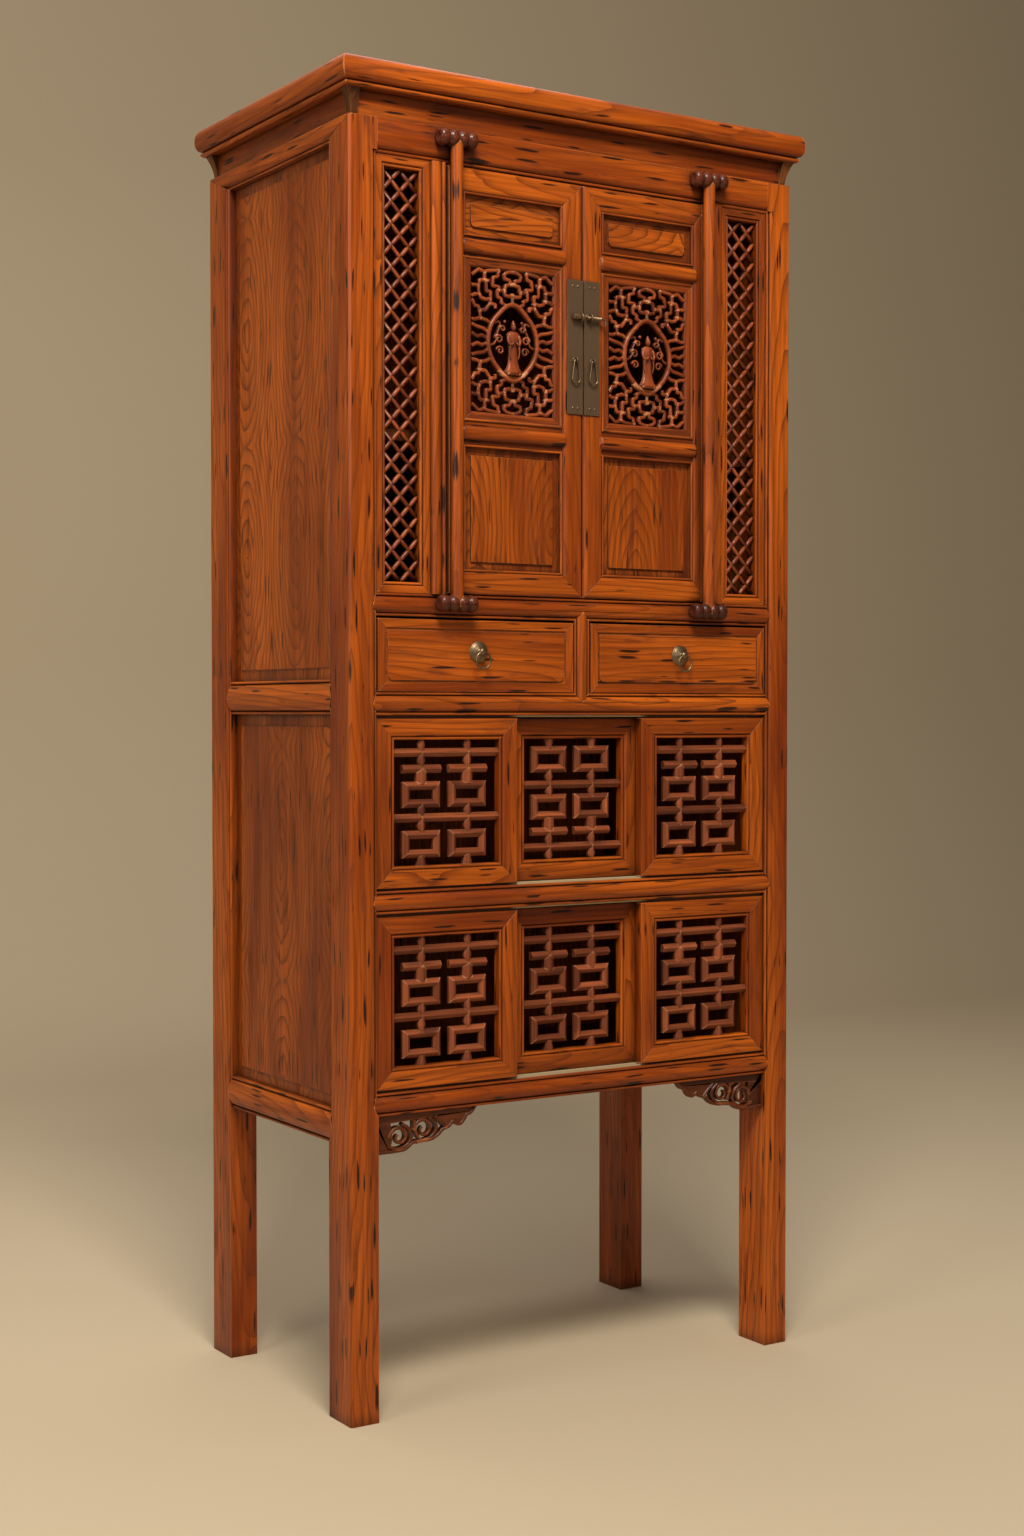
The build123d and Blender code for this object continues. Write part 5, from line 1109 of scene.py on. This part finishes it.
def lock_plate(side, sign):
    """A riveted plate with the bolt's staple and the pull's eye, and on the left leaf the bolt's keeper."""
    node = side + "_lock_plate"
    x0, x1, _, _, z0, z1 = span(node)
    middle, front = (x0 + x1) / 2, FRONT + 0.0004
    bolt_y, bolt_z = bolt_axis()
    staple_x = sign * (min(abs(x0), abs(x1)) + 0.007)
    eye = joint_place(side + "_pull_swing")
    with Piece(side + "_plate", side + "_door", lock_metal, "lock_metal", [node], 0.0003) as piece:
        piece.plate(rounded(x0, x1, z0, z1, (0.0012,) * 4), front, 0.0016)
        for z in (z0 + 0.009, z1 - 0.009):
            for x in (middle - 0.004, middle + 0.005):
                piece.turned((x, front, z), -Y, RIVET, 12)
        staple(piece, Vector((staple_x, bolt_y, bolt_z)), 0.0052, 0.0011)
        piece.turned((staple_x, front, bolt_z + 0.001), -Y, STAPLE_BOSS, 18)
        if side == "left":
            piece.turned((sign * 0.0023, bolt_y, bolt_z), sign * X, BARREL, 20)
        staple(piece, eye, 0.0034, 0.0009)
        piece.turned((eye.x, front, eye.z), -Y, EYE_BOSS, 16)


def drop_pull(side):
    """The teardrop that hangs in the plate's eye."""
    node = side + "_door_pull"
    with Piece(side + "_drop_pull", side + "_pull", pull_metal, "pull_metal", [node], 0) as piece:
        drop = teardrop(joint_place(side + "_pull_swing"), heights(node)[0])
        piece.strand(drop, circle(DROP_WIRE, 10), wrap=True)


def bolt():
    """The sliding bolt: a collared shank whose thin end turns down as a handle."""
    x0, x1, _, _, foot, _ = span("bolt")
    y, z = bolt_axis()
    arm = front_path(((x0 + 0.0255, z), (x1 - 0.006, z), (x1 - 0.0022, z - 0.0005), (x1 - 0.0018, z - 0.004),
                      (x1 - 0.0019, foot)), y)
    with Piece("sliding_bolt", "bolt", lock_metal, "lock_metal", ["bolt"], 0) as piece:
        piece.turned((x0, y, z), X, SHANK, 20)
        piece.strand(flowing(arm, 2), circle(0.0017, 12), taper=lambda t: 1 - 0.25 * t)


def bolt_axis():
    """Depth and height of the bolt's centre line."""
    low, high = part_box("bolt")
    return (low.y + high.y) / 2, high.z - SHANK_RADIUS


def staple(piece, centre, radius, wire):
    """A ring of wire that stands across x, let into the plate behind it."""
    ring = [centre + Vector((0, y, z)) for y, z in circle(radius, 24)]
    piece.strand(ring, circle(wire, 10), normal=X, wrap=True)


def teardrop(eye, foot):
    """A drop-shaped wire: a small arc through the eye above a large one."""
    top, low = 0.0032, 0.0066
    centre_z = foot + low + 0.0011
    head_z = eye.z - top
    lean = math.asin((low - top) / (head_z - centre_z))
    points = [(top * math.cos(lean + t), head_z + top * math.sin(lean + t))
              for t in [(math.pi - 2 * lean) * i / 8 for i in range(9)]]
    points += [(-low * math.cos(lean - t), centre_z + low * math.sin(lean - t))
               for t in [(math.pi + 2 * lean) * i / 16 for i in range(17)]]
    return front_path([(eye.x + x, z) for x, z in points], eye.y)


# ---------------------------------------------------------------- drawers
def drawer_edge(width):
    """A thin flat border, eased at its inner edge."""
    return (0.0032, 0), (0.0, 0), (0.0, width - 0.0006), (0.0008, width), (0.0032, width)


def drawers():
    """Drawer fronts: a mitred border round a sunk gap and a flat field with its lower corners rounded."""
    border, gap, inset = 0.013, 0.0125, 0.0158
    for name, _ in SIDES:
        node = name + "_drawer_front"
        x0, x1, y0, y1, z0, z1 = span(node)
        with Piece(node + "_boards", name + "_drawer", frame_wood, "frame_wood", [node], 0.0006) as piece:
            piece.block(x0, x1, y0 + 0.0030, y1, z0, z1)
            piece.mitred((x0, y0, z0), x1 - x0, z1 - z0, (border,) * 4, drawer_edge)
            field = rounded(x0 + inset, x1 - inset, z0 + inset, z1 - inset, (0.008, 0.008, 0.0025, 0.0025))
            piece.plate(field, y0 - 0.0004, 0.0045)
            piece.plate(rounded(x0 + gap, x1 - gap, z0 + gap, z1 - gap, (0.001,) * 4), y0 + 0.0016, 0.002)
        drawer_pull(name, x0 + (x1 - x0) / 2, y0)


def drawer_pull(name, x, front):
    """A rosette with a knob, and the ring that swings from it."""
    rosette_node, ring_node = name + "_drawer_rosette", name + "_drawer_ring"
    with Piece(name + "_rosette", name + "_drawer", pull_metal, "pull_metal", [rosette_node], 0) as piece:
        piece.turned((x, front, joint_place(name + "_ring_swing").z), -Y, ROSETTE, 40)
    _, _, y0, y1, z0, z1 = span(ring_node)
    with Piece(name + "_ring_pull", name + "_ring", pull_metal, "pull_metal", [ring_node], 0) as piece:
        wire = 0.0015
        centre = Vector((x, (y0 + y1) / 2, (z0 + z1) / 2))
        loop = [centre + Vector((a, 0, b)) for a, b in circle((z1 - z0) / 2 - wire, 48)]
        piece.strand(loop, circle(wire, 12), wrap=True)


# ---------------------------------------------------------------- sliding panels
BAR = 0.012
SLIDER_BORDER = 0.030
SLIDER_BEAD = 0.0046
# (aside, depth)
LINK_SECTION = mirrored(((0.0062, 0.0098), (0.0062, 0.0046), (0.0052, 0.0034), (0.0016, 0.0008)), 0.0004)


def ridge(width):
    """A bar worked to a soft ridge, so that crossing bars meet in mitres."""
    return [(0.010, 0.0004), (0.0050, 0.0), (0.0040, width * 0.05), (0.0004, width * 0.46),
            (0.0004, width * 0.54), (0.0040, width * 0.95), (0.0050, width), (0.010, width - 0.0004)]


def slider_edge(width):
    """A sliding panel's border, with a bead along its inner edge."""
    inner = width - SLIDER_BEAD
    return ([(0.015, 0), (0.0008, 0), (0, 0.0008), (0, inner - 0.0022), (0.0024, inner - 0.0004)]
            + bead(inner, 0.0014, SLIDER_BEAD) + [(0.015, width)])


def sliders():
    """Mitred frames round fretwork, each with a tongue below and above that runs in the grooves."""
    lap = 0.001
    for row in ("lower", "upper"):
        for place in ("left", "middle", "right"):
            body = f"{row}_{place}_slider"
            x0, x1, y0, _, foot, head = span(body + "_frame")
            z0, z1 = foot + 0.005, head - 0.008
            with Piece(body + "_timbers", body, frame_wood, "frame_wood", [body + "_frame"], 0.0005) as piece:
                piece.mitred((x0, y0, z0), x1 - x0, z1 - z0, (SLIDER_BORDER,) * 4, slider_edge)
                for low, high in ((foot, z0 + lap), (z1 - lap, head)):
                    piece.block(x0, x1, y0 + 0.004, y0 + 0.011, low, high)
            node = body + "_fretwork"
            with Piece(body + "_bars", body, fretwork_wood, "fretwork_wood", [node], 0.0004) as piece:
                fretwork(piece, span(node), body == "upper_middle_slider")


def fretwork(piece, window, flipped):
    """Bars, short bars and loops strung on two uprights, placed by shares of the window's width and height.

    A flipped one has its pattern upside down.
    """
    x0, x1, y0, _, z0, z1 = window
    width, height = x1 - x0, z1 - z0

    def across(left, right, level):
        """A level bar between two places across, centred on a height."""
        foot = z0 + (1 - level if flipped else level) * height - BAR / 2
        piece.beam(lay((x0 + left * width, y0, foot), X, Y, Z), (right - left) * width, ridge(BAR))

    def link(x, low, high, swell):
        """A short upright between two heights. swell gives its girth from low to high."""
        shares = (1 - low, 1 - high) if flipped else (low, high)
        foot, head = [Vector((x0 + x * width, y0, z0 + share * height)) for share in shares]
        rings = []
        for share in [step / 10 for step in range(11)]:
            middle, girth = foot.lerp(head, share), max(0.02, swell(share))
            rings.append([middle + X * aside * girth + Y * depth for aside, depth in LINK_SECTION])
        piece.board(rings, upright=True)

    def loop(left, right, low, high):
        low, high = (1 - high, 1 - low) if flipped else (low, high)
        corner = (x0 + left * width, y0, z0 + low * height)
        piece.mitred(corner, (right - left) * width, (high - low) * height, (BAR,) * 4, ridge)

    for level in (0.90, 0.38):
        across(0, 1, level)
    for left, middle, right in ((0.09, 0.27, 0.45), (0.53, 0.71, 0.89)):
        across(left, right, 0.77)
        for low, high in ((0.90, 1.03), (0.77, 0.90), (0.38, 0.49), (0.25, 0.38)):
            link(middle, low, high, lambda t: math.sin(math.pi * t) ** 0.75)
        link(middle, 0.65, 0.77, lambda t: 1.35)
        link(middle, 0.0, 0.08, lambda t: 1.3 - 0.55 * t)
        loop(left, right, 0.46, 0.67)
        loop(left, right, 0.06, 0.28)


# ---------------------------------------------------------------- spandrels
# places on a bracket: (share of its reach from the post, share of its drop from the rail)
SPANDREL_REACH = 0.163
SPANDREL_EDGE = (
    (0.0, -0.955), (0.26, -0.955), (0.31, -0.905), (0.37, -0.745), (0.54, -0.765), (0.62, -0.655),
    (0.66, -0.515), (0.74, -0.455), (0.765, -0.315), (0.80, -0.415), (0.845, -0.445), (0.885, -0.315),
    (0.905, -0.195), (0.955, -0.175), (1.0, 0.025))
SPANDREL_BOARDS = (
    ((0, 0), (0, -0.99), (0.14, -0.99), (0.17, -0.6), (0.15, -0.22), (0, -0.22)),
    ((0, 0), (0, -0.24), (0.30, -0.20), (0.62, -0.17), (0.86, -0.15), (0.97, -0.12), (1.0, 0)),
    ((0.60, -0.12), (0.70, -0.46), (0.78, -0.32), (0.83, -0.44), (0.90, -0.28), (0.97, -0.12)))
SPANDREL_STEMS = (
    ((0.12, -0.80), (0.20, -0.92), (0.30, -0.86), (0.36, -0.66), (0.33, -0.40), (0.26, -0.26)),
    ((0.40, -0.78), (0.52, -0.74), (0.60, -0.56), (0.60, -0.34), (0.53, -0.18)),
    ((0.38, -0.20), (0.38, -0.44), (0.42, -0.66)),
    ((0.58, -0.16), (0.64, -0.30), (0.70, -0.50)))
SPANDREL_BAR = mirrored(((0.0024, -0.010), (0.0024, -0.001), (0.0014, 0.0002)), 0.0006)


def spandrels():
    """Carved brackets: a solid end, a strip under the rail, a raised stepped edge and two scrolls."""
    _, _, y0, _, z0, z1 = span("spandrels")
    with Piece("carved_spandrels", "cabinet", bracket_wood, "carved_wood", ["spandrels"], 0.0004) as piece:
        for _, sign in SIDES:
            def at(points):
                return [(sign * (INNER - SPANDREL_REACH * a), z1 + (z1 - z0) * b) for a, b in points]

            for board in SPANDREL_BOARDS:
                piece.plate(at(board), y0 + 0.002, 0.009)
            piece.strand(flowing(front_path(at(SPANDREL_EDGE), y0), 2), SPANDREL_BAR)
            for middle in front_path(at(((0.235, -0.60), (0.475, -0.46))), y0 + 0.001):
                piece.strand(spiral(middle, 1.15, 0.0156, sign), SPANDREL_BAR, taper=lambda t: 1.1 - 0.4 * t)
            for stem in SPANDREL_STEMS:
                piece.strand(flowing(front_path(at(stem), y0 + 0.0002)), SPANDREL_BAR)


# ---------------------------------------------------------------- CAD nodes that keep their shape
def dressed_nodes():
    """The back, the boards inside, and the grooved tracks, which are rubbed pale where they show."""
    dress("back_rails", back_rail_wood)
    dress("back_panels", back_panel_wood)
    dress("slider_tracks", track_wood, 0.0004)
    for node in ("shelves", "upper_floor", "drawer_deck", "bottom_board", "bearers_and_guides",
                 "left_drawer_box", "right_drawer_box"):
        dress(node, plain_wood, 0.0005)


# ---------------------------------------------------------------- stage, lights and camera
def stage():
    """A plain stone-coloured floor that curves up into a backdrop."""
    half_width, near, bend, radius, top = 7.0, -6.0, 2.6, 1.2, 6.0
    turns = [math.radians(t) for t in range(10, 91, 10)]
    profile = [(near, 0.0), (bend, 0.0)]
    profile += [(bend + radius * math.sin(t), radius * (1 - math.cos(t))) for t in turns]
    profile.append((bend + radius, top))
    mesh = bmesh.new()
    left, right = [[mesh.verts.new((x, y, z)) for y, z in profile] for x in (-half_width, half_width)]
    for i in range(len(profile) - 1):
        mesh.faces.new((left[i], right[i], right[i + 1], left[i + 1]))
    backdrop = finished("backdrop", mesh)
    graph = Graph("stone_floor")
    graph.surface(Base_Color=srgb(196, 178, 150), Roughness=0.85)
    backdrop.data.materials.append(graph.material)


def light(name, place, target, size, power, colour=(1.0, 1.0, 1.0)):
    """A rectangular area light."""
    lamp = bpy.data.lights.new(name, "AREA")
    lamp.shape = "RECTANGLE"
    lamp.size, lamp.size_y = size
    lamp.energy = power
    lamp.color = colour
    aim(linked(name, lamp), Vector(place), Vector(target) - Vector(place))


def aim(thing, place, ahead):
    """Puts a light or the camera at a place and turns it to look ahead."""
    thing.location = place
    thing.rotation_euler = ahead.to_track_quat("-Z", "Y").to_euler()


def lights():
    light("key", (-1.2, -2.2, 4.0), (-0.1, 0, 1.8), (1.4, 1.1), 176, (1.0, 0.95, 0.85))
    light("fill", (-3.4, -1.2, 2.2), (0, 0, 0.9), (1.4, 1.6), 31, (1.0, 0.94, 0.84))
    light("front", (-0.4, -4.4, 1.9), (0, 0, 1.2), (2.0, 1.4), 16, (1.0, 0.95, 0.88))
    light("top", (0.0, 0.6, 3.6), (0, 0, 1.2), (2.4, 2.4), 40)
    world = bpy.data.worlds.new("studio")
    world.use_nodes = True
    colour, strength = world.node_tree.nodes["Background"].inputs[:2]
    colour.default_value = (1.0, 0.92, 0.80, 1.0)
    strength.default_value = 0.11
    bpy.context.scene.world = world
    bpy.context.scene.view_settings.view_transform = "Standard"


def camera():
    """Stands to the left of the front, at chest height, and looks at the cabinet nearly level."""
    place = Vector((-1.787, -2.832, 0.985))
    yaw, pitch = math.radians(32.51), math.radians(-1.47)
    focal_pixels, photo_height = 2165.2, 1536
    lens = bpy.data.cameras.new("camera")
    lens.sensor_width = 36.0
    lens.lens = lens.sensor_width * focal_pixels / photo_height
    thing = linked("camera", lens)
    ahead = Vector((math.sin(yaw) * math.cos(pitch), math.cos(yaw) * math.cos(pitch), math.sin(pitch)))
    aim(thing, place, ahead)
    bpy.context.scene.camera = thing


stage()
lights()
camera()
posts()
front_rails()
divider()
sides()
cap()
frieze()
grilles()
door_posts()
sockets()
leaves()
drawers()
sliders()
spandrels()
dressed_nodes()
